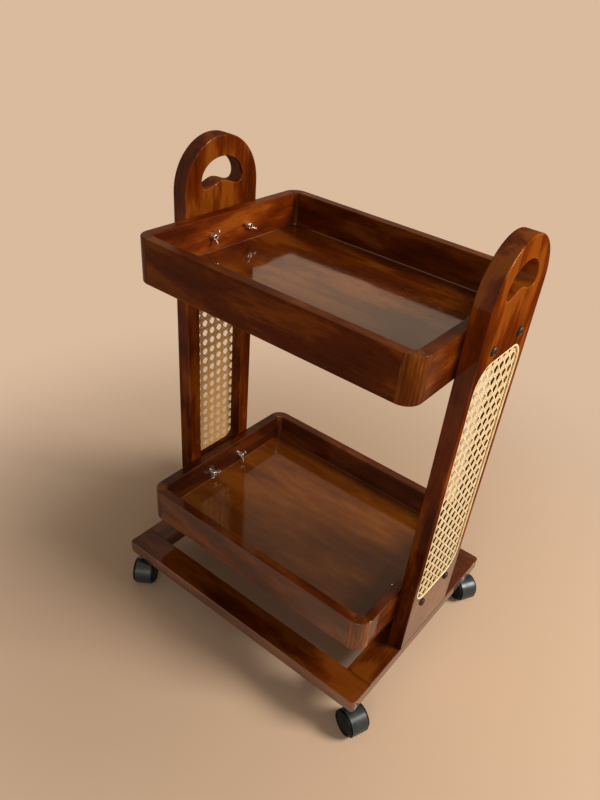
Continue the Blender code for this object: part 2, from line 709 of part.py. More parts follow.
def make_bolts():
    """A bolt and a wing nut at each of the eight holes."""
    bolt = bolt_mesh()
    nut = wing_nut_mesh()
    head_x = BASE_LENGTH / 2 + GLUE_GAP
    nut_x = TRAY_HALF_LENGTH - TRAY_WALL - GLUE_GAP
    for level, rise in BOLT_RISES.items():
        for side, x_sign in SIDES.items():
            for end, y_sign in ENDS.items():
                y = y_sign * BOLT_SPREAD / 2
                z = BASE_TOP + rise
                label = f"{level}_{end}_{side}"
                seat = Matrix.Translation((x_sign * head_x, y, z + GLUE_GAP))
                place(f"bolt_{label}", bolt, black_steel, seat @ facing(x_sign, 0))
                seat = Matrix.Translation((x_sign * nut_x, y, z + GLUE_GAP))
                wings = facing(-x_sign, WING_TURN_DEGREES[level, side, end])
                place(f"wing_nut_{label}", nut, nickel, seat @ wings)


def stem_profile():
    """A stem that fills the frame's bore, a collar under the frame, and the kingpin."""
    top = CASTER_HEIGHT + STEM_LENGTH
    collar_top = CASTER_HEIGHT - GLUE_GAP
    kingpin_end = COLLAR_BOTTOM - KINGPIN_LENGTH
    return [
        (0, top),
        (STEM_RADIUS, top),
        (STEM_RADIUS, collar_top),
        (COLLAR_RADIUS, collar_top),
        (COLLAR_RADIUS, COLLAR_BOTTOM),
        (KINGPIN_RADIUS, COLLAR_BOTTOM),
        (KINGPIN_RADIUS, kingpin_end),
        (0, kingpin_end),
    ]


def hood_shell_outline():
    """The band of the hood over the tread, seen along the axle."""
    outer = HOOD_OUTER_RADIUS
    inner = outer - HOOD_WALL
    first = HOOD_FIRST_DEGREES
    last = HOOD_LAST_DEGREES
    band = arc(CASTER_TRAIL, WHEEL_RADIUS, outer, first, last, HOOD_STEPS)
    return band + arc(CASTER_TRAIL, WHEEL_RADIUS, inner, last, first, HOOD_STEPS)


def web_outline():
    """The plate between the wheels, with the kingpin's boss at its front."""
    boss_top = COLLAR_BOTTOM - GLUE_GAP
    boss_bottom = boss_top - BOSS_DEPTH
    middle_radius = HOOD_OUTER_RADIUS - HOOD_WALL / 2
    boss = [(-BOSS_RADIUS, boss_bottom), (-BOSS_RADIUS, boss_top), (BOSS_RADIUS, boss_top)]
    rim = arc(
        CASTER_TRAIL, WHEEL_RADIUS, middle_radius, WEB_LAST_DEGREES, WEB_FIRST_DEGREES, HOOD_STEPS
    )
    hub = arc(
        CASTER_TRAIL,
        WHEEL_RADIUS,
        WEB_HUB_RADIUS,
        WEB_HUB_FIRST_DEGREES,
        WEB_HUB_LAST_DEGREES,
        CORNER_STEPS,
    )
    return boss + rim + hub


def hood_mesh():
    """The swivelling hood with its web, the axle pin through it and the kingpin's bore."""
    hood = place("hood", flat_mesh("hood", [hood_shell_outline()], HOOD_WIDTH), hood_plastic, UPRIGHT)
    web = place_cutter("web", flat_mesh("web", [web_outline()], WEB_THICKNESS), UPRIGHT)
    half_axle = WEB_THICKNESS / 2 + RUNNING_GAP + WHEEL_WIDTH - WHEEL_DISH
    axle_mesh = pin_mesh("axle", AXLE_RADIUS, -half_axle, half_axle, BOLT_STEPS)
    hub = Matrix.Translation((CASTER_TRAIL, 0, WHEEL_RADIUS))
    axle = place_cutter("axle", axle_mesh, hub @ UPRIGHT)
    bore_radius = (KINGPIN_RADIUS + RUNNING_GAP) / math.cos(math.pi / BOLT_STEPS)
    bore_bottom = COLLAR_BOTTOM - KINGPIN_LENGTH - RUNNING_GAP
    bore_mesh = pin_mesh("kingpin_bore", bore_radius, bore_bottom, CASTER_HEIGHT, BOLT_STEPS)
    bore = place_cutter("kingpin_bore", bore_mesh)
    combine(hood, web, "UNION")
    combine(hood, axle, "UNION")
    combine(hood, bore, "DIFFERENCE")
    return settled_mesh(hood, [web, axle, bore])


def wheel_profile():
    """A dished wheel with a hub, drawn from the caster's middle outwards along the axle."""
    inner_face = WEB_THICKNESS / 2 + RUNNING_GAP
    outer_face = inner_face + WHEEL_WIDTH
    dish = outer_face - WHEEL_DISH
    bore = (AXLE_RADIUS + RUNNING_GAP) / math.cos(math.pi / WHEEL_STEPS)
    rim_inner = WHEEL_RADIUS - WHEEL_RIM
    return [
        (rim_inner, outer_face),
        (WHEEL_RADIUS - WHEEL_EDGE, outer_face),
        (WHEEL_RADIUS, outer_face - WHEEL_EDGE),
        (WHEEL_RADIUS, inner_face),
        (bore, inner_face),
        (bore, outer_face),
        (WHEEL_HUB_RADIUS, outer_face),
        (WHEEL_HUB_RADIUS, dish),
        (rim_inner, dish),
    ]


def make_casters():
    """Four casters, each a fixed stem, a swivelling hood and two wheels that spin on their own."""
    stem_mesh = profile_mesh("caster_stem", stem_profile(), False)
    hood = hood_mesh()
    wheel_mesh = profile_mesh("caster_wheel", wheel_profile(), True)
    for (side, end), degrees in CASTER_TURN_DEGREES.items():
        label = f"{end}_{side}"
        kingpin = Matrix.Translation((SIDES[side] * KINGPIN_X, ENDS[end] * KINGPIN_Y, 0))
        swivel = bpy.data.objects.new(f"swivel_axis_{label}", None)
        cart.objects.link(swivel)
        swivel.matrix_world = kingpin @ Matrix.Rotation(math.radians(degrees), 4, "Z")
        stem = place(f"caster_stem_{label}", stem_mesh, caster_steel, kingpin)
        turn(stem, BOLT_STEPS)
        place(f"caster_hood_{label}", hood, hood_plastic, parent=swivel)
        axle = Matrix.Translation((CASTER_TRAIL, 0, WHEEL_RADIUS))
        for letter, quarter in (("a", -1), ("b", 1)):
            outwards = Matrix.Rotation(quarter * math.pi / 2, 4, "X")
            name = f"caster_wheel_{label}_{letter}"
            wheel = place(name, wheel_mesh, wheel_plastic, axle @ outwards, swivel)
            turn(wheel, WHEEL_STEPS)


make_base()
make_panels()
for tray_level, tray_sizes in TRAYS.items():
    make_tray(tray_level, *tray_sizes)
make_bolts()
make_casters()
bpy.context.view_layer.update()
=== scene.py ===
"""The finished look of a rolling bar cart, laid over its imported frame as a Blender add-on.

Lengths are metres. X runs along the cart, Y from its front to its back, and Z is up.
"""

import math
from functools import partialmethod

import bmesh
import bpy
from bpy.props import FloatProperty, FloatVectorProperty, IntProperty, PointerProperty
from mathutils import Matrix, Vector


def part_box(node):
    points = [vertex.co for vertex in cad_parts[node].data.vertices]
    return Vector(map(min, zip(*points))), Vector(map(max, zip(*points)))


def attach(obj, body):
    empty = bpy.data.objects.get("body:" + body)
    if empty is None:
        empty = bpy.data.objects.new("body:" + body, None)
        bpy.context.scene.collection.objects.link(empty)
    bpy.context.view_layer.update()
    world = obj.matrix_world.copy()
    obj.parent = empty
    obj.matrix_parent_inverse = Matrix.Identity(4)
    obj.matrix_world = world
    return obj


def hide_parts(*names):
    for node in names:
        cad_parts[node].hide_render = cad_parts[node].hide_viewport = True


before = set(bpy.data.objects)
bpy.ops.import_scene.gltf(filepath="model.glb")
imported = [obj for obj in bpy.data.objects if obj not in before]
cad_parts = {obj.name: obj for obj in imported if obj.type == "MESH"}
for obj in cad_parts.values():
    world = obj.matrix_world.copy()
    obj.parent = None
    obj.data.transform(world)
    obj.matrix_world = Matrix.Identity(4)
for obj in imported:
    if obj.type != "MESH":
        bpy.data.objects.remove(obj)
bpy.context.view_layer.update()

bl_info = {
    "name": "Rolling Bar Cart",
    "version": (1, 0, 0),
    "blender": (4, 5, 0),
    "location": "3D View > Sidebar > Bar Cart",
    "description": "Dresses a rolling bar cart in stained wood, woven cane and hardware",
    "category": "Object",
}

SIDES = {"left": -1, "right": 1}
ENDS = {"front": -1, "back": 1}
LEVELS = ("upper", "lower")
WHEELS = {"a": -1, "b": 1}

# Fineness of round shapes
ARCH_STEPS = 72
CORNER_STEPS = 14
HOLE_SIDES = 24
LATHE_SIDES = 48
EASING_STEPS = 3
MERGE_DISTANCE = 0.00001
FLAT_COSINE = math.cos(math.radians(0.4))
SMOOTH_COSINE = math.cos(math.radians(55))

# Base frame and side panels, whose outer sizes come from the frame
BASE_CORNER_RADIUS = 0.007
PANEL_GAP = 0.0003
HAND_HOLE_WIDTH = 0.100
HAND_HOLE_HEIGHT = 0.0485
HAND_HOLE_LOBE_RADIUS = 0.012
HAND_HOLE_HUMP = 0.009
HAND_HOLE_RISE = 0.0055
REBATE_RADIUS = 0.040
LEDGE_WIDTH = 0.019
WINDOW_RADIUS = 0.018
BOLT_HOLE_RADIUS = 0.0033
BROAD_COSINE = 0.98
THIN_COSINE = 0.2

# Where each rail's board lay in its log: across the grain twice
RAIL_PITHS = {"front": (-0.33, 0.02), "back": (0.14, 0.17), "left": (-0.20, 0.01), "right": (0.36, 0.16)}

# Cane and reed
WEAVE_STEP = 0.0030
STRAND_SIDES = 8
SLANTED_SHARE = 0.88
PAIR_LIFT_SHARE = 0.56
SLANT_LIFT_SHARE = 1.02
REED_WIDTH = 0.0045
REED_PROFILE_STEPS = 10
REED_FULLNESS = 0.6

# Lacquer, of which the upper tray has lost more of its gloss in use
COAT_ROUGHNESS = 0.06
COAT_IOR = 1.5
GLAZE_IOR = 2.2
PANEL_IOR = 3.2
GRAIN_RELIEF = 0.00008
MOULDING_RELIEF = 0.00005
DUST = (0.30, 0.27, 0.24)
FLOOR_WAVE = 0.0011
FLOOR_BEAD = 0.0016
FLOOR_CORNER_RADIUS = 0.0077
TRAY_COAT = {"upper": 0.04, "lower": 0.9}
TRAY_SHINE = {"upper": 0.85, "lower": 0.36}
TRAY_GLOSS = {"upper": 0.03, "lower": 0.04}

# Bolts and wing nuts
BOLT_RADIUS = 0.003
DOME_STEPS = 8
SOCKET_RADIUS = 0.0029
SOCKET_DEPTH = 0.002
NUT_HEIGHT = 0.009
NUT_BASE_RADIUS = 0.0068
NUT_TOP_RADIUS = 0.0055
WING_SPAN = 0.029
WING_RADIUS = 0.0042
WING_THICKNESS = 0.0024
WING_ROOT_RADIUS = 0.0042
WING_ROOT_HEIGHT = 0.005
WING_ROOT_SHIFT = 0.001
WING_ROOT_STEPS = 6
WING_TIP_HEIGHT = 0.0105
WING_TURN_DEGREES = {
    "upper_front_left": 78,
    "upper_back_left": -32,
    "upper_front_right": 25,
    "upper_back_right": 110,
    "lower_front_left": 15,
    "lower_back_left": 69,
    "lower_front_right": 140,
    "lower_back_right": 50,
}

# Casters
CASTER_TRAIL = 0.021
WHEEL_RADIUS = 0.0265
WHEEL_WIDTH = 0.015
WHEEL_CAP = 0.0008
HOOD_WIDTH = 0.034
HOOD_WALL = 0.0020
HOOD_CLEARANCE = 0.0009
HOOD_DEGREES = (-45, 128)
WEB_THICKNESS = 0.0144
WEB_GAP = 0.0003
WEB_HUB_RADIUS = 0.011
WEB_HUB_DEGREES = (-60, -150)
WEB_RIM_DEGREES = (100, -32)
BOSS_RADIUS = 0.0085
BOSS_DEPTH = 0.022
BOSS_COVER = 0.020
AXLE_RADIUS = 0.0035
AXLE_RECESS = 0.0012
KINGPIN_RADIUS = 0.004
STEM_RADIUS = 0.0055
COLLAR_HEIGHT = 0.002
# The wheel's inner and outer rim: how far in from its tread, and from its inner or outer face
WHEEL_INNER_RIM = ((0.0012, 0), (0.0004, 0.0004), (0, 0.0015))
WHEEL_OUTER_RIM = (
    (0, 0.0032), (0.0006, 0.0017), (0.0017, 0.0005), (0.0028, 0), (0.0042, 0), (0.0050, 0.0003),
    (0.0054, 0.0018), (0.0062, 0.0020), (0.0070, 0.0016), (0.0110, 0.0009), (0.0160, 0.0003), (0.0210, 0),
)

# Lights: name, place, size and colour
LIGHTS = (
    ("key", (2.3, 0.85, 1.95), 1.0, (1.0, 0.96, 0.90)),
    ("fill", (1.2, -2.4, 1.6), 1.4, (1.0, 0.97, 0.92)),
)
AMBIENT_COLOUR = (1.0, 0.88, 0.74)

# Camera, as the cart is seen from its front right and above
CAMERA_PLACE = (0.5922, -0.8964, 1.1921)
CAMERA_YAW = 0.5807
CAMERA_PITCH = 0.6538
CAMERA_ROLL = 0.1238
CAMERA_FOCUS = 685.13
PICTURE_WIDTH = 600
PICTURE_HEIGHT = 800
OPTICAL_CENTRE = (321.44, 453.10)
SENSOR = 36.0

# Turns an outline drawn in X and Y so that it stands in Y and Z, facing +X
STANDING = Matrix(((0, 0, 1, 0), (1, 0, 0, 0), (0, 1, 0, 0), (0, 0, 0, 1)))
# Turns an outline drawn in X and Y so that it stands in X and Z, facing -Y
UPRIGHT = Matrix.Rotation(math.pi / 2, 4, "X")

# Three tones of grain, and the colours that each stained part has for them
TONES = {
    "light": ("light", "Lightest grain"),
    "mid": ("middle", "Main colour"),
    "dark": ("dark", "Darkest grain"),
}
STAINS = {
    "panel": (
        "Panel", "side panels",
        (0.235, 0.055, 0.0045), (0.12, 0.0185, 0.0012), (0.034, 0.0048, 0.0007),
    ),
    # Painted light: these lighter tones go only on the upper tray's left end wall, whose inner face is seen
    # lit; the right end wall keeps the tray tones.
    "end": (
        "End wall", "trays' end walls",
        (0.29, 0.066, 0.0055), (0.148, 0.022, 0.0015), (0.038, 0.0055, 0.0008),
    ),
    "tray": (
        "Tray", "tray walls",
        (0.19, 0.045, 0.004), (0.098, 0.0165, 0.0013), (0.04, 0.0062, 0.0008),
    ),
    "floor": (
        "Floor", "upper floor",
        (0.24, 0.06, 0.005), (0.128, 0.0235, 0.0016), (0.058, 0.009, 0.0009),
    ),
    "amber": (
        "Amber", "lower floor",
        (0.225, 0.062, 0.005), (0.165, 0.04, 0.0024), (0.095, 0.019, 0.0012),
    ),
    "post": (
        "Post", "corner posts",
        (0.3, 0.09, 0.009), (0.145, 0.033, 0.003), (0.05, 0.009, 0.0012),
    ),
}


def colour_choice(name, description, value):
    return FloatVectorProperty(
        name=name, description=description, default=value, subtype="COLOR", size=3, min=0, max=1
    )


def length_choice(name, description, value):
    return FloatProperty(name=name, description=description, default=value, unit="LENGTH", min=0)


def count_choice(name, description, value):
    return IntProperty(name=name, description=description, default=value, min=1, subtype="UNSIGNED")


def power_choice(name, description, value):
    return FloatProperty(name=name, description=description, default=value, unit="POWER")


class CartWoodSettings(bpy.types.PropertyGroup):
    easing: length_choice("Eased edge", "Radius of the sanded edges", 0.0022)
    ring_width: length_choice("Ring width", "Distance between growth rings", 0.0062)


for kind, (title, part, *colours) in STAINS.items():
    for (tone, (word, share)), colour in zip(TONES.items(), colours):
        choice = colour_choice(f"{title} {word}", f"{share} of the {part}", colour)
        CartWoodSettings.__annotations__[f"{kind}_{tone}"] = choice


class CartCaneSettings(bpy.types.PropertyGroup):
    straw: colour_choice("Straw", "Colour of the cane", (0.90, 0.74, 0.45))
    honey: colour_choice("Honey", "Darker colour between the fibres", (0.68, 0.46, 0.20))
    # The seam colour darkens the strands' edges: partly the cane's own edge colour, partly painted shade
    # between strands.
    seam: colour_choice("Seam", "Colour of the strands' edges", (0.30, 0.17, 0.06))
    # The pith colour is painted shade: it darkens and warms every cane face that looks into the cart.
    pith: colour_choice("Inner shade", "Tint of the side that faces into the cart", (0.80, 0.55, 0.28))
    columns: count_choice("Columns", "Open holes across a sheet", 7)
    rows: count_choice("Rows", "Open holes up a sheet", 23)
    column_pitch: length_choice("Column pitch", "Distance between holes that lie side by side", 0.0195)
    row_pitch: length_choice("Row pitch", "Distance between holes that lie one above the other", 0.0212)
    row_drop: length_choice("Row drop", "How far the rows lie below the middle of the sheet", 0.0078)
    pair_spacing: length_choice("Pair spacing", "Distance between the strands of a pair", 0.0033)
    strand_width: length_choice("Strand width", "Width of one strand", 0.0029)
    strand_thickness: length_choice("Strand thickness", "Thickness of one strand", 0.0004)


class CartHardwareSettings(bpy.types.PropertyGroup):
    black: colour_choice("Bolt black", "Colour of the bolts", (0.009, 0.009, 0.010))
    nickel: colour_choice("Nickel", "Colour of the wing nuts", (0.92, 0.90, 0.86))
    steel: colour_choice("Steel", "Colour of the caster stems", (0.42, 0.42, 0.43))
    hood: colour_choice("Hood plastic", "Colour of the caster hoods", (0.017, 0.030, 0.035))
    wheel: colour_choice("Wheel plastic", "Colour of the wheels", (0.006, 0.010, 0.012))
    edge: length_choice("Moulded edge", "Radius of the hoods' edges", 0.0008)


class CartStageSettings(bpy.types.PropertyGroup):
    floor: colour_choice("Floor", "Colour of the floor round the cart", (0.72, 0.505, 0.345))
    backdrop: colour_choice("Backdrop", "Colour that the floor fades into", (0.70, 0.495, 0.34))
    floor_size: length_choice("Floor size", "Side of the floor", 16.0)
    pool_radius: length_choice("Pool radius", "Where the floor starts to fade into the backdrop", 0.42)
    fade_width: length_choice("Fade width", "How far the fade reaches", 0.9)
    key_power: power_choice("Key light", "Power of the large light", 80.0)
    fill_power: power_choice("Fill light", "Power of the low soft light", 14.0)
    ambient: FloatProperty(
        name="Ambient",
        description="Strength of the light from all round",
        default=0.17,
        min=0,
        subtype="FACTOR",
    )


def low(node):
    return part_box(node)[0]


def high(node):
    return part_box(node)[1]


def middle(node):
    return (low(node) + high(node)) / 2


def frame_top():
    return high("base_rail_front").z


def frame_bottom():
    return low("base_rail_front").z


def at(x, y, z):
    """A move without a turn."""
    return Matrix.Translation((x, y, z))


def placed(mesh, matrix):
    mesh.transform(matrix)
    return mesh


def arc(centre_x, centre_y, radius, first_degrees, last_degrees, steps):
    """Points of an arc, both ends included."""
    points = []
    for step in range(steps + 1):
        angle = math.radians(first_degrees + (last_degrees - first_degrees) * step / steps)
        points.append((centre_x + radius * math.cos(angle), centre_y + radius * math.sin(angle)))
    return points


def rounded_rectangle(width, height, radius):
    """An outline about the origin with four equal round corners."""
    points = []
    for quarter, (right, up) in enumerate(((1, 1), (-1, 1), (-1, -1), (1, -1))):
        centre = (right * (width / 2 - radius), up * (height / 2 - radius))
        points += arc(*centre, radius, 90 * quarter, 90 * quarter + 90, CORNER_STEPS)
    return points


def circle(centre_x, centre_y, radius, sides):
    return arc(centre_x, centre_y, radius, 0, 360, sides)[:-1]


def level_ring(outline, z):
    return [(x, y, z) for x, y in outline]


def weld(mesh):
    """Joins doubled points and turns the faces outwards."""
    shape = bmesh.new()
    shape.from_mesh(mesh)
    bmesh.ops.remove_doubles(shape, verts=shape.verts, dist=MERGE_DISTANCE)
    bmesh.ops.dissolve_degenerate(shape, edges=shape.edges, dist=MERGE_DISTANCE)
    bmesh.ops.recalc_face_normals(shape, faces=shape.faces)
    shape.to_mesh(mesh)
    shape.free()
    return mesh


def welded(shape):
    """A mesh of an edited shape, which is used up."""
    mesh = bpy.data.meshes.new("shape")
    shape.to_mesh(mesh)
    shape.free()
    return weld(mesh)


def evaluated_mesh(data, make_modifiers=None):
    """The mesh that an object with this data and these modifiers gives."""
    guide = bpy.data.objects.new("guide", data)
    bpy.context.scene.collection.objects.link(guide)
    if make_modifiers:
        make_modifiers(guide)
    graph = bpy.context.evaluated_depsgraph_get()
    mesh = bpy.data.meshes.new_from_object(guide.evaluated_get(graph))
    bpy.data.objects.remove(guide)
    return mesh


def plate(outlines, thickness, easing=0.0):
    """A plate about its own plane with eased edges: an edge outline, then its holes."""
    curve = bpy.data.curves.new("plate", "CURVE")
    curve.dimensions = "2D"
    curve.fill_mode = "BOTH"
    curve.extrude = thickness / 2 - easing
    curve.bevel_depth = easing
    curve.bevel_resolution = EASING_STEPS - 1
    curve.offset = -easing
    for outline in outlines:
        spline = curve.splines.new("POLY")
        spline.points.add(len(outline) - 1)
        for point, (x, y) in zip(spline.points, outline):
            point.co = (x, y, 0, 1)
        spline.use_cyclic_u = True
    mesh = evaluated_mesh(curve)
    bpy.data.curves.remove(curve)
    return weld(mesh)


def combined(mesh, other, operation):
    """One mesh cut from another, or joined to it."""
    cutter = bpy.data.objects.new("cutter", other)
    bpy.context.scene.collection.objects.link(cutter)

    def add_boolean(guide):
        modifier = guide.modifiers.new("boolean", "BOOLEAN")
        modifier.operation = operation
        modifier.solver = "EXACT"
        modifier.object = cutter

    result = evaluated_mesh(mesh, add_boolean)
    bpy.data.objects.remove(cutter)
    return weld(result)


def loft(rings, closed=False):
    """Skins rings of equally many points, and caps the first and last unless the row closes."""
    shape = bmesh.new()
    rows = [[shape.verts.new(point) for point in ring] for ring in rings]
    pairs = list(zip(rows, rows[1:]))
    if closed:
        pairs.append((rows[-1], rows[0]))
    else:
        shape.faces.new(rows[0])
        shape.faces.new(rows[-1])
    for lower, upper in pairs:
        for index in range(len(lower)):
            shape.faces.new((lower[index - 1], lower[index], upper[index], upper[index - 1]))
    return welded(shape)


def turned(profile, sides, closed=False):
    """A profile of radius and height, swept round the Z axis."""
    return loft([level_ring(circle(0, 0, radius, sides), z) for radius, z in profile], closed)


def rod(radius, bottom, top):
    return turned([(0, bottom), (radius, bottom), (radius, top), (0, top)], HOLE_SIDES)


def eased_copy(node, is_eased, radius):
    """A merged copy of a CAD node whose chosen edges are rounded."""
    shape = bmesh.new()
    shape.from_mesh(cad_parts[node].data)
    bmesh.ops.remove_doubles(shape, verts=shape.verts, dist=MERGE_DISTANCE)
    bmesh.ops.dissolve_limit(shape, angle_limit=math.radians(1), verts=shape.verts, edges=shape.edges)
    chosen = []
    for edge in shape.edges:
        if len(edge.link_faces) == 2 and edge.calc_face_angle() > math.radians(60):
            if is_eased(edge.verts[0].co, edge.verts[1].co):
                chosen.append(edge)
    bmesh.ops.bevel(
        shape, geom=chosen, offset=radius, segments=EASING_STEPS + 1, profile=0.5, affect="EDGES"
    )
    return welded(shape)


def flat_regions(shape):
    """The region that each face lies in, where regions are flat, and the regions' areas."""
    region = {}
    areas = []
    for first in shape.faces:
        if first.index in region:
            continue
        region[first.index] = len(areas)
        waiting = [first]
        area = 0
        while waiting:
            face = waiting.pop()
            area += face.calc_area()
            for near in (near for edge in face.edges for near in edge.link_faces):
                if near.index not in region and near.normal.dot(face.normal) > FLAT_COSINE:
                    region[near.index] = len(areas)
                    waiting.append(near)
        areas.append(area)
    return region, areas


def harden(mesh):
    """Broad flat faces keep their own normal right up to the small faces of an eased edge."""
    shape = bmesh.new()
    shape.from_mesh(mesh)
    shape.faces.ensure_lookup_table()
    shape.normal_update()
    region, areas = flat_regions(shape)
    normals = []
    for face in shape.faces:
        for vert in face.verts:
            found = {}
            for near in vert.link_faces:
                if near.normal.dot(face.normal) > SMOOTH_COSINE:
                    found[region[near.index]] = near.normal
            total = Vector()
            for index, normal in found.items():
                total += normal * (areas[index] * 1000) ** 2
            normals.append(total.normalized() if total.length > 0 else face.normal.copy())
    shape.free()
    mesh.shade_smooth()
    mesh.normals_split_custom_set(normals)
    return mesh


def mark_faces(mesh, name, measure):
    """Writes on each face what its normal gives."""
    layer = mesh.attributes.new(name, "FLOAT", "FACE")
    for item, face in zip(layer.data, mesh.polygons):
        item.value = measure(face.normal)


def mark_points(mesh, name, vectors):
    layer = mesh.attributes.new(name, "FLOAT_VECTOR", "POINT")
    for item, vector in zip(layer.data, vectors):
        item.vector = vector


def lay_grain(mesh, along, pith, start=0.0):
    """Writes where each point lies in its board: across the grain twice, then along it."""
    mark_faces(mesh, "end_grain", lambda normal: normal[along] ** 2)
    mark_faces(mesh, "upright", lambda normal: 1 - normal.z ** 2)
    first, second = (axis for axis in range(3) if axis != along)
    places = [vertex.co for vertex in mesh.vertices]
    vectors = [(place[first] - pith[0], place[second] - pith[1], place[along] + start) for place in places]
    mark_points(mesh, "grain", vectors)


def show(name, mesh, material, body, nodes):
    """Shows a finished mesh that rides on a body and stands for CAD nodes."""
    mesh.name = name
    mesh.materials.clear()
    mesh.materials.append(material)
    piece = bpy.data.objects.new(name, mesh)
    bpy.context.scene.collection.objects.link(piece)
    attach(piece, body)
    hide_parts(*nodes)


class Wire:
    """An output of a node, for writing formulas as plain arithmetic; a | b is the larger of two."""

    def __init__(self, node, output=0):
        self.node = node
        self.tree = node.id_data
        self.socket = node.outputs[output]

    def __getitem__(self, output):
        return Wire(self.node, output)

    def maths(self, operation, *values, kind="ShaderNodeMath"):
        return add(self.tree, kind, dict(enumerate((self, *values))), operation=operation)

    vector = partialmethod(maths, kind="ShaderNodeVectorMath")
    __add__ = partialmethod(maths, "ADD")
    __sub__ = partialmethod(maths, "SUBTRACT")
    __mul__ = partialmethod(maths, "MULTIPLY")
    __truediv__ = partialmethod(maths, "DIVIDE")
    __mod__ = partialmethod(maths, "MODULO")
    __pow__ = partialmethod(maths, "POWER")
    __or__ = partialmethod(maths, "MAXIMUM")
    __lt__ = partialmethod(maths, "LESS_THAN")
    __gt__ = partialmethod(maths, "GREATER_THAN")
    __abs__ = partialmethod(maths, "ABSOLUTE")


def fill(node, inputs):
    """Links or sets a node's sockets, by name or number."""
    for key, value in inputs.items():
        socket = node.inputs[key]
        if isinstance(value, Wire):
            value.tree.links.new(value.socket, socket)
        else:
            socket.default_value = (*value, 1.0) if socket.type == "RGBA" else value


def add(tree, kind, inputs=None, **settings):
    """Adds a node, sets its options and fills its sockets."""
    node = tree.nodes.new(kind)
    for name, value in settings.items():
        setattr(node, name, value)
    fill(node, inputs or {})
    return Wire(node)


def attribute(tree, name, output="Fac"):
    return add(tree, "ShaderNodeAttribute", attribute_name=name)[output]


def object_place(tree):
    return add(tree, "ShaderNodeTexCoord")["Object"]


def noise(place, scale, detail=2.0, roughness=0.5):
    """Noise at a scale that differs along each axis."""
    stretched = place.vector("MULTIPLY", scale)
    inputs = {"Vector": stretched, "Scale": 1.0, "Detail": detail, "Roughness": roughness}
    return add(place.tree, "ShaderNodeTexNoise", inputs)


def ramp(value, start, end, low_value=0.0, high_value=1.0):
    """A smooth step from one value to another."""
    inputs = dict(enumerate((value, start, end, low_value, high_value)))
    return add(value.tree, "ShaderNodeMapRange", inputs, interpolation_type="SMOOTHSTEP")


def mixed(factor, first, second, blend_type="MIX"):
    inputs = {0: factor, 6: first, 7: second}
    return add(factor.tree, "ShaderNodeMix", inputs, data_type="RGBA", blend_type=blend_type)[2]


def bump(height, strength, distance, **under):
    inputs = {"Height": height, "Strength": strength, "Distance": distance, **under}
    return add(height.tree, "ShaderNodeBump", inputs)


def new_group(name, inputs, outputs, kind="ShaderNodeTree"):
    """An empty node group, whose sockets' names are listed under their kinds."""
    tree = bpy.data.node_groups.new(name, kind)
    for direction, sockets in (("INPUT", inputs), ("OUTPUT", outputs)):
        for socket, labels in sockets.items():
            for label in labels:
                tree.interface.new_socket(label, in_out=direction, socket_type=f"NodeSocket{socket}")
    return tree, add(tree, "NodeGroupInput"), tree.nodes.new("NodeGroupOutput")


def ready(make):
    """The node group that a function makes, made only once and named after it."""
    return bpy.data.node_groups.get(make.__name__) or make()


def board_grain():
    """Growth rings, streaks, fibres, pores and slow clouds of a board whose grain runs along Z."""
    tree, given, made = new_group(
        "board_grain",
        {"Vector": ("Vector",), "Float": ("Ring Width", "Waver")},
        {"Float": ("Rings", "Streaks", "Fibres", "Pores", "Clouds", "Waves")},
    )
    place = given["Vector"]
    drift = noise(place, (9, 9, 2), 3)["Color"].vector("SUBTRACT", (0.5, 0.5, 0.5))
    drift = add(tree, "ShaderNodeVectorMath", {0: drift, "Scale": given["Waver"]}, operation="SCALE")
    bent = place.vector("ADD", drift)
    radius = bent.vector("MULTIPLY", (1, 1, 0)).vector("LENGTH")["Value"]
    ragged = noise(place, (110, 110, 4)) * 1.6
    phase = (radius / given["Ring Width"] + ragged).maths("FRACT")
    outputs = {
        "Rings": phase ** 2.2 | ramp(phase, 0, 0.16, 1, 0),
        "Streaks": ramp(noise(bent, (95, 95, 2.4), 3, 0.55), 0.30, 0.70),
        "Fibres": ramp(noise(place, (560, 560, 9), 4, 0.65), 0.28, 0.72),
        "Pores": ramp(noise(place, (1500, 1500, 42), 1), 0.60, 0.70),
        "Clouds": ramp(noise(place, (21, 21, 6), 4, 0.6), 0.33, 0.67),
        "Waves": noise(place, (13, 13, 9), 3, 0.3),
    }
    fill(made, outputs)
    return tree


def stained_lacquer():
    """Stain that takes to the grain, under a lacquer that is a little uneven."""
    parts = ("Rings", "Streaks", "Fibres", "Pores", "Clouds", "End Grain")
    strengths = ("Ring Strength", "Cloud Strength", "End Strength", "Gloss")
    tree, given, made = new_group(
        "stained_lacquer",
        {"Float": parts + strengths, "Color": ("Light", "Middle", "Dark")},
        {"Color": ("Color",), "Float": ("Roughness", "Height")},
    )
    rings, streaks, fibres, pores, clouds, end_grain = (given[part] for part in parts)
    tone = rings * given["Ring Strength"] + fibres * 0.07 + streaks * 0.11 + clouds * given["Cloud Strength"]
    lighter = mixed(ramp(tone, 0.10, 0.44), given["Light"], given["Middle"])
    darker = mixed(ramp(tone, 0.40, 0.84), lighter, given["Dark"])
    soaked = pores * 0.30 | end_grain * given["End Strength"]
    outputs = {
        "Color": mixed(soaked, darker, given["Dark"]),
        "Roughness": clouds * 0.06 + given["Gloss"],
        "Height": fibres * 0.25 - pores,
    }
    fill(made, outputs)
    return tree


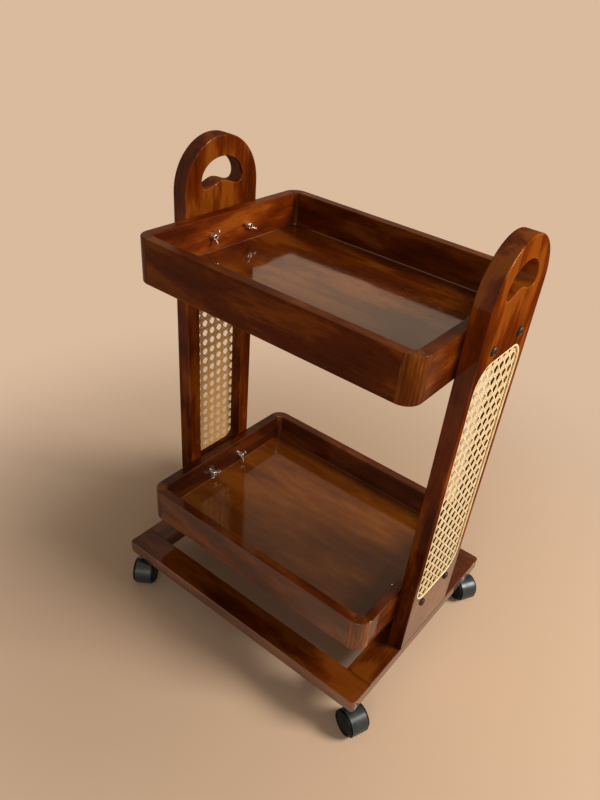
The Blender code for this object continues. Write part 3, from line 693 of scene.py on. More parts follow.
def scuffs():
    """Fine moulding grain, faint dust and broad smears of handling."""
    tree, given, made = new_group(
        "scuffs",
        {"Vector": ("Vector",), "Color": ("Color", "Dust"), "Float": ("Dust Amount", "Base Roughness")},
        {"Color": ("Color",), "Float": ("Roughness", "Height")},
    )
    place = given["Vector"]
    smears = noise(place, (70, 70, 70), 4, 0.6)
    specks = noise(place, (480, 480, 480), 3, 0.7)
    dust = ramp(smears, 0.42, 0.72) * ramp(specks, 0.45, 0.65) * given["Dust Amount"]
    outputs = {
        "Color": mixed(dust, given["Color"], given["Dust"]),
        "Roughness": ramp(smears, 0.3, 0.7) * 0.14 + given["Base Roughness"],
        "Height": noise(place, (2600, 2600, 2600), 1),
    }
    fill(made, outputs)
    return tree


def new_material(name):
    """An empty material, its tree and its shader."""
    material = bpy.data.materials.new(name)
    material.use_nodes = True
    return material, material.node_tree, material.node_tree.nodes["Principled BSDF"]


def stain_tones(kind):
    settings = bpy.context.scene.cart_wood
    return [getattr(settings, f"{kind}_{tone}") for tone in TONES]


def wood(name, tones, rings=0.04, clouds=0.56, gloss=0.3, specular=0.05, coat=0.3, wave=0.0003, end=0.6):
    """Stained wood under a lacquer that follows its slow waves."""
    material, tree, shader = new_material(name)
    ring_width = bpy.context.scene.cart_wood.ring_width
    inputs = {"Vector": attribute(tree, "grain", "Vector"), "Ring Width": ring_width, "Waver": 0.022}
    grain = add(tree, "ShaderNodeGroup", inputs, node_tree=ready(board_grain))
    inputs = {part: grain[part] for part in ("Rings", "Streaks", "Fibres", "Pores", "Clouds")}
    inputs |= zip(("Light", "Middle", "Dark"), tones)
    inputs |= {"Ring Strength": rings, "Cloud Strength": clouds, "Gloss": gloss}
    inputs |= {"End Strength": end, "End Grain": attribute(tree, "end_grain")}
    stain = add(tree, "ShaderNodeGroup", inputs, node_tree=ready(stained_lacquer))
    waves = bump(grain["Waves"], 1.0, wave)
    inputs = {
        "Base Color": stain["Color"],
        "Roughness": stain["Roughness"],
        "Normal": bump(stain["Height"], 0.3, GRAIN_RELIEF, Normal=waves),
        "Specular IOR Level": specular,
        "Coat Weight": coat,
        "Coat Roughness": COAT_ROUGHNESS,
        "Coat IOR": COAT_IOR,
    }
    fill(shader, inputs)
    return material


def glaze_uprights(material, flat_coat, upright_coat):
    """A thick lacquer that shines most on upright faces."""
    upright = attribute(material.node_tree, "upright")
    shader = material.node_tree.nodes["Principled BSDF"]
    fill(shader, {"Coat Weight": ramp(upright, 0, 1, flat_coat, upright_coat), "Coat IOR": GLAZE_IOR})


def panel_wood():
    """Lacquer that has stayed bright on the eased edges and near the foot of the outer face, over a stain
    with painted light and shade on its edges and foot.
    """
    material = wood("panel_wood", stain_tones("panel"), gloss=0.45, specular=0.0, coat=0.0, end=0.25)
    tree = material.node_tree
    shader = tree.nodes["Principled BSDF"]
    place = object_place(tree)
    height = add(tree, "ShaderNodeSeparateXYZ", {0: place})["Z"]
    broad, eased, thin = (attribute(tree, name) for name in ("broad", "eased", "thin"))
    cane_foot = low("cane_panel_right").z
    glare = ramp(height, cane_foot, cane_foot + HAND_HOLE_WIDTH, 1, 0) * broad
    facing = add(tree, "ShaderNodeLayerWeight", {"Blend": 0.5})["Facing"]
    worn = ramp(noise(place, (26, 26, 11)), 0.44, 0.60, 0.018, 0.115)
    thin_levels = (frame_top(), low("upper_tray_floor").z)
    rising = ramp(height, *thin_levels, 0.014, 0.063)
    bright = glare * ramp(facing, 0.1, 0.5, 0.2, 1) | eased * worn | thin * rising | 0.007
    stain = Wire(shader.inputs["Base Color"].links[0].from_node)
    # Painted light and shade: the stain on thickness faces and eased edges is multiplied by a factor that
    # rises with height, darker near the base frame and lighter near the upper tray; on the eased edges the
    # lighter stain also stands for wear.
    colour = mixed(thin | eased, stain, ramp(height, *thin_levels, 0.42, 1.3), "MULTIPLY")
    # Painted shade at the foot of the outer face: the stain is darkened towards its dark tone under the
    # glare, so that the reflection there reads greyer.
    colour = mixed(glare * 0.3, colour, stain_tones("panel")[-1])
    fill(shader, {"Base Color": colour, "Coat Weight": bright, "Coat IOR": PANEL_IOR})
    return material


def cane_material(name, edge_tone_and_shade=0.0):
    """Split cane with fine fibres along each strand; its edges are darker, partly in their own colour and
    partly as painted shade between strands.
    """
    settings = bpy.context.scene.cart_cane
    material, tree, shader = new_material(name)
    place = attribute(tree, "strand", "Vector")
    fibres = noise(place, (60, 2600, 37))
    patches = noise(place, (24, 180, 91))
    pale = [min(1.0, value * 1.12) for value in settings.straw]
    colour = mixed(ramp(fibres, 0.35, 0.75), settings.straw, settings.honey)
    colour = mixed(ramp(patches, 0.45, 0.70), colour, pale)
    # Strands' edges are darkened towards the seam colour: partly their own colour, partly painted shade where
    # strands lie side by side.
    if edge_tone_and_shade:
        across = add(tree, "ShaderNodeSeparateXYZ", {0: place})["Y"]
        rim = ramp(abs(across), 0.30 * settings.strand_width, 0.46 * settings.strand_width)
        colour = mixed(rim * edge_tone_and_shade, colour, settings.seam)
    # Faces that look into the cart are multiplied by the pith colour: painted shade on the inner side.
    inputs = {
        "Base Color": mixed(attribute(tree, "inner"), colour, settings.pith, "MULTIPLY"),
        "Roughness": ramp(patches, 0.2, 0.8, 0.42, 0.60),
        "Normal": bump(fibres, 0.4, GRAIN_RELIEF),
        "Specular IOR Level": 0.2,
    }
    fill(shader, inputs)
    return material


def hard_material(
    name, colour, roughness, metallic=0.0, dust=DUST, dust_amount=0.25, relief=0.15, specular=0.5
):
    """Metal or moulded plastic that has been handled."""
    material, tree, shader = new_material(name)
    inputs = {"Vector": object_place(tree), "Color": colour, "Dust": dust}
    inputs |= {"Dust Amount": dust_amount, "Base Roughness": roughness}
    worn = add(tree, "ShaderNodeGroup", inputs, node_tree=ready(scuffs))
    inputs = {
        "Base Color": worn["Color"],
        "Roughness": worn["Roughness"],
        "Normal": bump(worn["Height"], relief, MOULDING_RELIEF),
        "Metallic": metallic,
        "Specular IOR Level": specular,
    }
    fill(shader, inputs)
    return material


def grown(start, tree, values):
    """The plain mesh that a Geometry Nodes tree makes, with its inputs set by their identifiers."""

    def add_tree(guide):
        modifier = guide.modifiers.new("tree", "NODES")
        modifier.node_group = tree
        for item in tree.interface.items_tree:
            if item.item_type == "SOCKET" and item.in_out == "INPUT" and item.name in values:
                modifier[item.identifier] = values[item.name]

    return evaluated_mesh(start, add_tree)


def finish_tree(geometry, given, made):
    """Ends a Geometry Nodes tree: instances are made real and get the material."""
    real = add(geometry.tree, "GeometryNodeRealizeInstances", {"Geometry": geometry})
    inputs = {"Geometry": real, "Material": given["Material"]}
    fill(made, {"Geometry": add(geometry.tree, "GeometryNodeSetMaterial", inputs)})


class CART_OT_base_frame(bpy.types.Operator):
    """Four rails, half-lapped at the corners, with eased outer and inner edges"""

    bl_idname = "cart.base_frame"
    bl_label = "Base Frame"

    def execute(self, context):
        material = wood("rail_wood", stain_tones("tray"), end=0.1)
        glaze_uprights(material, 0.16, 0.9)
        lap_x = low("base_rail_right").x
        lap_y = low("base_rail_back").y
        levels = (frame_bottom(), frame_top())

        def is_eased(start, end):
            centre = (start + end) / 2
            level = any(abs(start.z - z) < PANEL_GAP and abs(end.z - z) < PANEL_GAP for z in levels)
            past_x = abs(centre.x) > lap_x + PANEL_GAP
            past_y = abs(centre.y) > lap_y + PANEL_GAP
            on_x_seam = abs(abs(centre.x) - lap_x) < 2 * PANEL_GAP and past_y
            on_y_seam = abs(abs(centre.y) - lap_y) < 2 * PANEL_GAP and past_x
            inside = abs(centre.x) < lap_x - 2 * PANEL_GAP or abs(centre.y) < lap_y - 2 * PANEL_GAP
            outline = self.on_outline(centre, lap_x, lap_y)
            return level and outline and not (on_x_seam or on_y_seam) and (inside or past_x or past_y)

        for name, pith in RAIL_PITHS.items():
            node = f"base_rail_{name}"
            mesh = eased_copy(node, is_eased, context.scene.cart_wood.easing)
            if name in SIDES:
                self.close_seams(mesh, lap_y)
            lay_grain(harden(mesh), 0 if name in ENDS else 1, pith, 0.7 * pith[1])
            show(f"rail_{name}", mesh, material, "cart", [node])
        return {"FINISHED"}

    @staticmethod
    def close_seams(mesh, lap_y):
        """Moves a short rail's shoulders up to the long rails, so that a seam is a fine line."""
        for vertex in mesh.vertices:
            if abs(abs(vertex.co.y) - lap_y + PANEL_GAP) < PANEL_GAP / 10:
                vertex.co.y = math.copysign(lap_y - PANEL_GAP / 20, vertex.co.y)

    @staticmethod
    def on_outline(centre, lap_x, lap_y):
        """Whether a point lies on the frame's outer or inner edge, and not round a pocket in it."""
        outer = high("base_rail_back")
        from_x = outer.x - abs(centre.x)
        from_y = outer.y - abs(centre.y)
        on_outer = min(from_x, from_y) < PANEL_GAP
        on_corner = max(from_x, from_y) < BASE_CORNER_RADIUS + PANEL_GAP
        on_inner = min(abs(abs(centre.x) - lap_x), abs(abs(centre.y) - lap_y)) < PANEL_GAP
        return on_outer or on_corner or on_inner


def hand_hole(top):
    """An oval grip with two round lobes below and a hump between them."""
    half = HAND_HOLE_WIDTH / 2
    lobe = HAND_HOLE_LOBE_RADIUS
    bottom = top - high("side_panel_right").y + HAND_HOLE_RISE
    crown = HAND_HOLE_HEIGHT - lobe
    points = []
    for step in range(ARCH_STEPS):
        angle = math.pi * step / ARCH_STEPS
        points.append((half * math.cos(angle), bottom + lobe + crown * math.sin(angle)))
    points += arc(lobe - half, bottom + lobe, lobe, 180, 270, CORNER_STEPS)
    hump_steps = ARCH_STEPS // 2
    for step in range(1, hump_steps):
        share = 2 * step / hump_steps - 1
        lift = HAND_HOLE_HUMP * (1 + math.cos(math.pi * share)) / 2
        points.append((share * (half - lobe), bottom + lift))
    points += arc(half - lobe, bottom + lobe, lobe, 270, 360, CORNER_STEPS)[:-1]
    return points


def rebate_size():
    """Width, height and middle level of the rebate that the cane lies in."""
    corner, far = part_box("cane_panel_right")
    return far.y - corner.y + 2 * PANEL_GAP, far.z - corner.z + 2 * PANEL_GAP, (far.z + corner.z) / 2


class CART_OT_side_panels(bpy.types.Operator):
    """Two arched boards with a hand hole, a window and a rebate for the cane"""

    bl_idname = "cart.side_panels"
    bl_label = "Side Panels"

    def execute(self, context):
        material = panel_wood()
        for side, sign in SIDES.items():
            mesh = self.board(side, sign, context.scene.cart_wood.easing)
            mark_faces(mesh, "broad", lambda normal: normal.x * sign > BROAD_COSINE)
            mark_faces(mesh, "eased", lambda normal: THIN_COSINE < abs(normal.x) <= BROAD_COSINE)
            mark_faces(mesh, "thin", lambda normal: abs(normal.x) <= THIN_COSINE)
            lay_grain(mesh, 2, (sign * 0.21, sign * 0.035), sign * 0.4)
            show(f"panel_{side}", mesh, material, "cart", [f"side_panel_{side}"])
        return {"FINISHED"}

    @staticmethod
    def board(side, sign, easing):
        corner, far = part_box(f"side_panel_{side}")
        foot = frame_top() + PANEL_GAP
        half = far.y
        edge = [(-half, 0), (half, 0)] + arc(0, far.z - foot - half, half, 0, 180, ARCH_STEPS)
        width, height, level = rebate_size()
        window = rounded_rectangle(width - 2 * LEDGE_WIDTH, height - 2 * LEDGE_WIDTH, WINDOW_RADIUS)
        outlines = [edge, hand_hole(far.z - foot), [(x, y + level - foot) for x, y in window]]
        for bolt in [middle(f"bolt_{tray}_{end}_{side}") for tray in LEVELS for end in ENDS]:
            outlines.append(circle(bolt.y, bolt.z - foot, BOLT_HOLE_RADIUS, HOLE_SIDES))
        spot = at((corner.x + far.x) / 2, 0, foot) @ STANDING
        mesh = placed(plate(outlines, far.x - corner.x, easing), spot)
        depth = abs(low("cane_panel_right").x - high("side_panel_right").x) + PANEL_GAP
        rebate = plate([rounded_rectangle(width, height, REBATE_RADIUS)], 2 * depth)
        outer_x = sign * max(abs(corner.x), abs(far.x))
        return harden(combined(mesh, placed(rebate, at(outer_x, 0, level) @ STANDING), "DIFFERENCE"))


def six_way_weave():
    """Upright and level pairs of strands that cross, and single slanted strands both ways."""
    lengths = ("Width", "Height", "Corner Radius", "Column Pitch", "Row Pitch", "Row Drop")
    lengths += ("Pair Spacing", "Strand Width", "Strand Thickness", "Step")
    tree, given, made = new_group(
        "six_way_weave",
        {"Float": lengths, "Int": ("Columns", "Rows"), "Material": ("Material",)},
        {"Geometry": ("Geometry",)},
        "GeometryNodeTree",
    )
    width, height, corner, column_pitch, row_pitch, drop, spacing = (given[name] for name in lengths[:7])
    thickness = given["Strand Thickness"]
    index = add(tree, "GeometryNodeInputIndex")
    split = add(tree, "ShaderNodeSeparateXYZ", {0: add(tree, "GeometryNodeInputPosition")})
    x = split["X"]
    y = split["Y"]
    half_columns = given["Columns"] / 2
    half_rows = given["Rows"] / 2
    pair = (index / 2).maths("FLOOR")
    member = index % 2 - 0.5

    def pair_place(half_count, pitch):
        """Where each strand of a family of pairs lies, by its index."""
        return (pair - half_count) * pitch + member * spacing

    def from_pair(value, half_count, pitch):
        """The distance of a coordinate from the middle of the nearest crossing pair."""
        turns = value / pitch + half_count
        return ((turns + 0.5).maths("FRACT") - 0.5) * pitch

    def woven(own, crossed, direction):
        """How far a paired strand is lifted where it crosses the other pair."""
        wave = (crossed / spacing * math.pi).maths("SINE") * (abs(crossed) < spacing)
        return wave * own.maths("SIGN") * (thickness * (PAIR_LIFT_SHARE * direction))

    def slanted(direction):
        """A slanted strand goes over one family of pairs and under the other."""
        turns = x / column_pitch + half_columns
        return ((turns + 0.5) * (2 * math.pi)).maths("COSINE") * (thickness * (SLANT_LIFT_SHARE * direction))

    def past(coordinate, size):
        """How far a point lies past the straight part of a side."""
        return abs(coordinate) - (size / 2 - corner) | 0.0

    def store(geometry, name, value, domain="POINT", kind="FLOAT"):
        inputs = {"Geometry": geometry, "Name": name, "Value": value}
        return add(tree, "GeometryNodeStoreNamedAttribute", inputs, data_type=kind, domain=domain)

    def delete(geometry, chosen, domain):
        inputs = {"Geometry": geometry, "Selection": chosen}
        return add(tree, "GeometryNodeDeleteGeometry", inputs, domain=domain)

    def combine(**axes):
        return add(tree, "ShaderNodeCombineXYZ", axes)

    def section(share):
        """A strand's flat oval section, at a share of the full width."""
        inputs = {"Resolution": STRAND_SIDES, "Radius": 1.0}
        ring = add(tree, "GeometryNodeCurvePrimitiveCircle", inputs, mode="RADIUS")
        scale = combine(X=given["Strand Width"] * (share / 2), Y=thickness / 2, Z=1.0)
        return store(add(tree, "GeometryNodeTransform", {"Geometry": ring, "Scale": scale}), "across", x)

    past_column = from_pair(x, half_columns, column_pitch)
    past_row = from_pair(y + drop, half_rows, row_pitch)
    outside = (past(x, width) ** 2 + past(y, height) ** 2).maths("SQRT") > corner
    lean = column_pitch / row_pitch
    reach = height / 2 * lean
    slant_count = given["Columns"] + given["Rows"] + 4
    slant_place = (index - (slant_count - 1) / 2) * column_pitch
    column_places = combine(X=pair_place(half_columns, column_pitch))
    row_places = combine(Y=pair_place(half_rows, row_pitch) - drop)
    rising = combine(X=slant_place + drop * lean)
    falling = combine(X=slant_place - drop * lean)
    paired = section(1.0)
    single = section(SLANTED_SHARE)
    # Pairs in the family, where its strands lie, one end of a strand, its lift and its section
    families = (
        (half_columns * 2, column_places, combine(Y=height / 2), woven(past_column, past_row, 1), paired),
        (half_rows * 2, row_places, combine(X=width / 2), woven(past_row, past_column, -1), paired),
        (None, rising, combine(X=reach, Y=height / 2), slanted(1), single),
        (None, falling, combine(X=reach * -1, Y=height / 2), slanted(-1), single),
    )
    join = add(tree, "GeometryNodeJoinGeometry")
    for seed, (pairs, places, end, lift, profile) in enumerate(families):
        count = (pairs + 1) * 2 if pairs else slant_count
        points = add(tree, "GeometryNodePoints", {"Count": count, "Position": places})
        start = end.vector("MULTIPLY", (-1, -1, -1))
        line = add(tree, "GeometryNodeCurvePrimitiveLine", {"Start": start, "End": end})
        fine = add(tree, "GeometryNodeResampleCurve", {"Curve": line, "Length": given["Step"]}, mode="LENGTH")
        laid = add(tree, "GeometryNodeInstanceOnPoints", {"Points": points, "Instance": fine})
        strands = add(tree, "GeometryNodeRealizeInstances", {"Geometry": laid})
        numbered = store(strands, "number", index + 100 * seed, "CURVE")
        trimmed = delete(numbered, outside, "POINT")
        whole = delete(trimmed, add(tree, "GeometryNodeSplineLength")["Point Count"] < 3, "CURVE")
        measured = store(whole, "along", add(tree, "GeometryNodeSplineParameter")["Length"])
        bent = add(tree, "GeometryNodeSetPosition", {"Geometry": measured, "Offset": combine(Z=lift)})
        level = add(tree, "GeometryNodeSetCurveNormal", {"Curve": bent}, mode="Z_UP")
        inputs = {"Curve": level, "Profile Curve": profile, "Fill Caps": True}
        fill(join.node, {0: add(tree, "GeometryNodeCurveToMesh", inputs)})
    parts = {}
    for axis, name in (("X", "along"), ("Y", "across"), ("Z", "number")):
        parts[axis] = add(tree, "GeometryNodeInputNamedAttribute", {"Name": name}, data_type="FLOAT")
    stored = store(join, "strand", combine(**parts), kind="FLOAT_VECTOR")
    finish_tree(add(tree, "GeometryNodeSetShadeSmooth", {"Geometry": stored}), given, made)
    return tree


class CART_OT_cane(bpy.types.Operator):
    """Two sheets of six-way cane, woven strand by strand"""

    bl_idname = "cart.cane"
    bl_label = "Cane"

    def execute(self, context):
        settings = context.scene.cart_cane
        material = cane_material("cane", edge_tone_and_shade=0.75)
        width, height, level = rebate_size()
        values = {
            "Width": width - 4 * PANEL_GAP,
            "Height": height - 4 * PANEL_GAP,
            "Corner Radius": REBATE_RADIUS - 2 * PANEL_GAP,
            "Step": WEAVE_STEP,
            "Material": material,
        }
        for name in ("columns", "rows", "column_pitch", "row_pitch", "row_drop", "pair_spacing"):
            values[name.replace("_", " ").title()] = getattr(settings, name)
        values |= {"Strand Width": settings.strand_width, "Strand Thickness": settings.strand_thickness}
        for side, sign in SIDES.items():
            node = f"cane_panel_{side}"
            mesh = grown(bpy.data.meshes.new("start"), ready(six_way_weave), values)
            placed(mesh, at(middle(node).x, 0, level) @ STANDING)
            # Marks the faces that look into the cart, which the cane material paints in shade.
            mark_faces(mesh, "inner", lambda normal: normal.x * sign < 0)
            show(f"weave_{side}", mesh, material, "cart", [node])
        return {"FINISHED"}


class CART_OT_reed(bpy.types.Operator):
    """Half-round reeds over the edge of each cane sheet"""

    bl_idname = "cart.reed"
    bl_label = "Reed"

    def execute(self, context):
        material = cane_material("reed")
        width, height, level = rebate_size()
        for side, sign in SIDES.items():
            node = f"cane_reed_{side}"
            corner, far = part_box(node)
            inner_x = min(abs(corner.x), abs(far.x))
            profile = []
            for step in range(REED_PROFILE_STEPS + 1):
                angle = math.pi * step / REED_PROFILE_STEPS
                inset = PANEL_GAP + REED_WIDTH / 2 * (1 - math.cos(angle))
                profile.append((inset, (far.x - corner.x) * math.sin(angle) ** REED_FULLNESS))
            profile += [(PANEL_GAP + REED_WIDTH * share, 0) for share in (0.75, 0.25)]
            rings = []
            for inset, lift in profile:
                outline = rounded_rectangle(width - 2 * inset, height - 2 * inset, REBATE_RADIUS - inset)
                rings.append([(sign * (inner_x + lift), y, z + level) for y, z in outline])
            mesh = loft(rings, closed=True)
            places = [vertex.co for vertex in mesh.vertices]
            mark_points(mesh, "strand", [(place.z + place.y * 0.3, place.y, 0) for place in places])
            show(f"reed_{side}", harden(mesh), material, "cart", [node])
        return {"FINISHED"}


class CART_OT_trays(bpy.types.Operator):
    """Two trays with lacquered floors, eased walls and rounded corner posts"""

    bl_idname = "cart.trays"
    bl_label = "Trays"

    def execute(self, context):
        easing = context.scene.cart_wood.easing
        tray_tones = stain_tones("tray")
        # The left end walls get tones of their own: lighter on the upper tray, as painted light, and the
        # tray's middle and dark tones on the lower tray, as painted shade.
        left_wall_light_and_shade_tones = {"upper": stain_tones("end"), "lower": [tray_tones[1], tray_tones[2], tray_tones[2]]}
        floor_tones = {"upper": stain_tones("floor"), "lower": stain_tones("amber")}
        for number, tray in enumerate(LEVELS):
            coat = TRAY_COAT[tray]
            floors = wood(
                f"{tray}_floor_wood", floor_tones[tray], gloss=TRAY_GLOSS[tray], specular=TRAY_SHINE[tray],
                coat=TRAY_SHINE[tray] / 4, wave=FLOOR_WAVE,
            )
            walls = wood(f"{tray}_wall_wood", tray_tones, coat=coat)
            ends = wood(f"{tray}_end_wood", left_wall_light_and_shade_tones[tray], coat=coat)
            posts = wood(f"{tray}_post_wood", stain_tones("post"), rings=0.20, coat=coat, end=0.35)
            if tray == "lower":
                for material, upright_coat in ((walls, 0.5), (ends, 0.3), (posts, 0.4)):
                    glaze_uprights(material, 0.12, upright_coat)
            self.floor(tray, number, floors)
            for end in ENDS:
                self.wall(tray, end, 0, easing, walls)
            for side in SIDES:
                # Only the left end wall takes the painted light and shade tones.
                self.wall(tray, side, 1, easing, ends if side == "left" else walls)
                for end in ENDS:
                    self.post(tray, end, side, easing, posts)
        return {"FINISHED"}

    @staticmethod
    def quarter_round(radius, steps):
        """How far a rounded rim lies in, and how far down, from its side to its top."""
        angles = [math.pi / 2 * step / steps for step in range(steps + 1)]
        return [(radius * (1 - math.cos(angle)), radius * (1 - math.sin(angle))) for angle in angles]

    def floor(self, tray, number, material):
        """A board with a bead of lacquer along its edge."""
        node = f"{tray}_tray_floor"
        corner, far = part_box(node)
        rim = [(0, corner.z - far.z), (0, 0)] + self.quarter_round(FLOOR_BEAD, EASING_STEPS + 1)
        rings = []
        for inset, lift in rim:
            size = (far.x - corner.x - 2 * inset, far.y - corner.y - 2 * inset)
            rings.append(level_ring(rounded_rectangle(*size, FLOOR_CORNER_RADIUS - inset), far.z + lift))
        mesh = harden(loft(rings))
        lay_grain(mesh, 0, (-0.31 + 0.1 * number, far.z - 0.16), 1.3 * number)
        show(f"{tray}_floor_board", mesh, material, "cart", [node])

    @staticmethod
    def wall(tray, which, along, easing, material):
        """A wall whose long edges are eased and whose ends meet the posts squarely."""
        node = f"{tray}_tray_wall_{which}"
        corner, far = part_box(node)

        def is_eased(start, end):
            level = min(abs(start.z - corner.z), abs(start.z - far.z)) < MERGE_DISTANCE * 5
            long = abs(start[along] - end[along]) > far.z - corner.z
            return level and long and abs(start.z - end.z) < MERGE_DISTANCE

        mesh = harden(eased_copy(node, is_eased, easing))
        sign = {**SIDES, **ENDS}[which]
        pith = middle(node)[1 - along] - 0.05 * sign, middle(node).z + 0.09
        lay_grain(mesh, along, pith, 0.9 * sign + corner.z)
        show(f"{tray}_wall_{which}_board", mesh, material, "cart", [node])

    def post(self, tray, end, side, easing, material):
        """A quarter ring with eased rims."""
        node = f"{tray}_tray_post_{end}_{side}"
        corner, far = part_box(node)
        wall = f"{tray}_tray_wall_back"
        outer = far.x - corner.x
        inner = outer - (high(wall).y - low(wall).y)
        height = far.z - corner.z
        profile = [(lift, inset) for inset, lift in self.quarter_round(easing, EASING_STEPS + 1)]
        rings = []
        for inset, level in profile + [(inset, height - lift) for inset, lift in reversed(profile)]:
            outline = arc(0, 0, outer - inset, 0, 90, 2 * CORNER_STEPS)
            outline += arc(0, 0, inner + inset, 90, 0, 2 * CORNER_STEPS)
            rings.append(level_ring(outline, level))
        quarter = {("right", "back"): 0, ("left", "back"): 1, ("left", "front"): 2, ("right", "front"): 3}
        hub_x = corner.x if side == "right" else far.x
        hub_y = corner.y if end == "back" else far.y
        turn = Matrix.Rotation(quarter[side, end] * math.pi / 2, 4, "Z")
        mesh = harden(placed(loft(rings), at(hub_x, hub_y, corner.z) @ turn))
        pith = (hub_x - 0.03 * SIDES[side], hub_y + 0.05 * ENDS[end])
        lay_grain(mesh, 2, pith, hub_x + 2 * hub_y + corner.z)
        show(f"{tray}_post_{end}_{side}_block", mesh, material, "cart", [node])


def fasteners():
    """Places one fastener on every point, turned as the point says."""
    tree, given, made = new_group(
        "fasteners",
        {"Geometry": ("Geometry",), "Object": ("Fastener",), "Float": ("Scale",), "Material": ("Material",)},
        {"Geometry": ("Geometry",)},
        "GeometryNodeTree",
    )
    facing = add(tree, "GeometryNodeInputNamedAttribute", {"Name": "facing"}, data_type="FLOAT_VECTOR")
    inputs = {
        "Points": given["Geometry"],
        "Instance": add(tree, "GeometryNodeObjectInfo", {"Object": given["Fastener"]})["Geometry"],
        "Rotation": add(tree, "FunctionNodeEulerToRotation", {0: facing}),
        "Scale": given["Scale"],
    }
    finish_tree(add(tree, "GeometryNodeInstanceOnPoints", inputs), given, made)
    return tree


def show_fasteners(kind, part_mesh, seats, material):
    """One piece of like fasteners, each set by the matrix that goes with its place."""
    part = bpy.data.objects.new("part", part_mesh)
    bpy.context.scene.collection.objects.link(part)
    points = bpy.data.meshes.new("points")
    points.from_pydata([seat.to_translation() for seat in seats.values()], [], [])
    mark_points(points, "facing", [seat.to_euler() for seat in seats.values()])
    mesh = grown(points, ready(fasteners), {"Fastener": part, "Scale": 1.0, "Material": material})
    bpy.data.objects.remove(part)
    show(f"{kind}s", harden(mesh), material, "cart", [f"{kind}_{place}" for place in seats])


def facing(sign, turn_degrees):
    """Turns a piece so that its Z axis points along X, and its X axis leans from +Y to +Z."""
    flat = Matrix.Rotation(math.radians(turn_degrees), 4, "X") @ STANDING
    return flat if sign > 0 else flat @ Matrix.Rotation(math.pi, 4, "X")


def every_bolt():
    """The place, tray and side of each bolt, and its middle."""
    for tray, side, end in [(tray, side, end) for tray in LEVELS for side in SIDES for end in ENDS]:
        place = f"{tray}_{end}_{side}"
        yield place, tray, side, middle(f"bolt_{place}")


class CART_OT_bolts(bpy.types.Operator):
    """Black button-head bolts through the panels and the trays"""

    bl_idname = "cart.bolts"
    bl_label = "Bolts"

    def execute(self, context):
        black = context.scene.cart_hardware.black
        material = hard_material("bolt_black", black, 0.34, dust_amount=0.05, specular=0.4)
        corner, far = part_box("bolt_upper_front_right")
        head_base = high("side_panel_right").x + PANEL_GAP
        part = self.bolt((far.y - corner.y) / 2, far.x - head_base, head_base - corner.x)
        seats = {}
        for place, tray, side, bolt in every_bolt():
            seat = at(SIDES[side] * head_base, bolt.y, bolt.z)
            seats[place] = seat @ facing(SIDES[side], 7 * len(seats))
        show_fasteners("bolt", part, seats, material)
        return {"FINISHED"}

    @staticmethod
    def bolt(head_radius, head_height, length):
        """A domed head with a hexagon socket, over a plain shank with a chamfered end."""
        outline = [(BOLT_RADIUS * 0.8, -length), (BOLT_RADIUS, -length + BOLT_RADIUS * 0.2), (BOLT_RADIUS, 0)]
        outline.append((head_radius * 0.97, 0))
        for step in range(DOME_STEPS + 1):
            angle = math.pi / 2 * step / DOME_STEPS
            reach = head_radius * (0.55 + 0.45 * math.cos(angle))
            outline.append((reach, head_height * (0.12 + 0.88 * math.sin(angle))))
        rings = [level_ring(circle(0, 0, radius, HOLE_SIDES), z) for radius, z in outline]
        for radius, z in (
            (SOCKET_RADIUS * 1.06, head_height),
            (SOCKET_RADIUS, head_height - SOCKET_RADIUS * 0.08),
            (SOCKET_RADIUS, head_height - SOCKET_DEPTH),
        ):
            ring = []
            for x, y in circle(0, 0, radius, HOLE_SIDES):
                off = (math.atan2(y, x) + math.pi / 6) % (math.pi / 3) - math.pi / 6
                ring.append((x / math.cos(off), y / math.cos(off), z))
            rings.append(ring)
        return loft(rings)


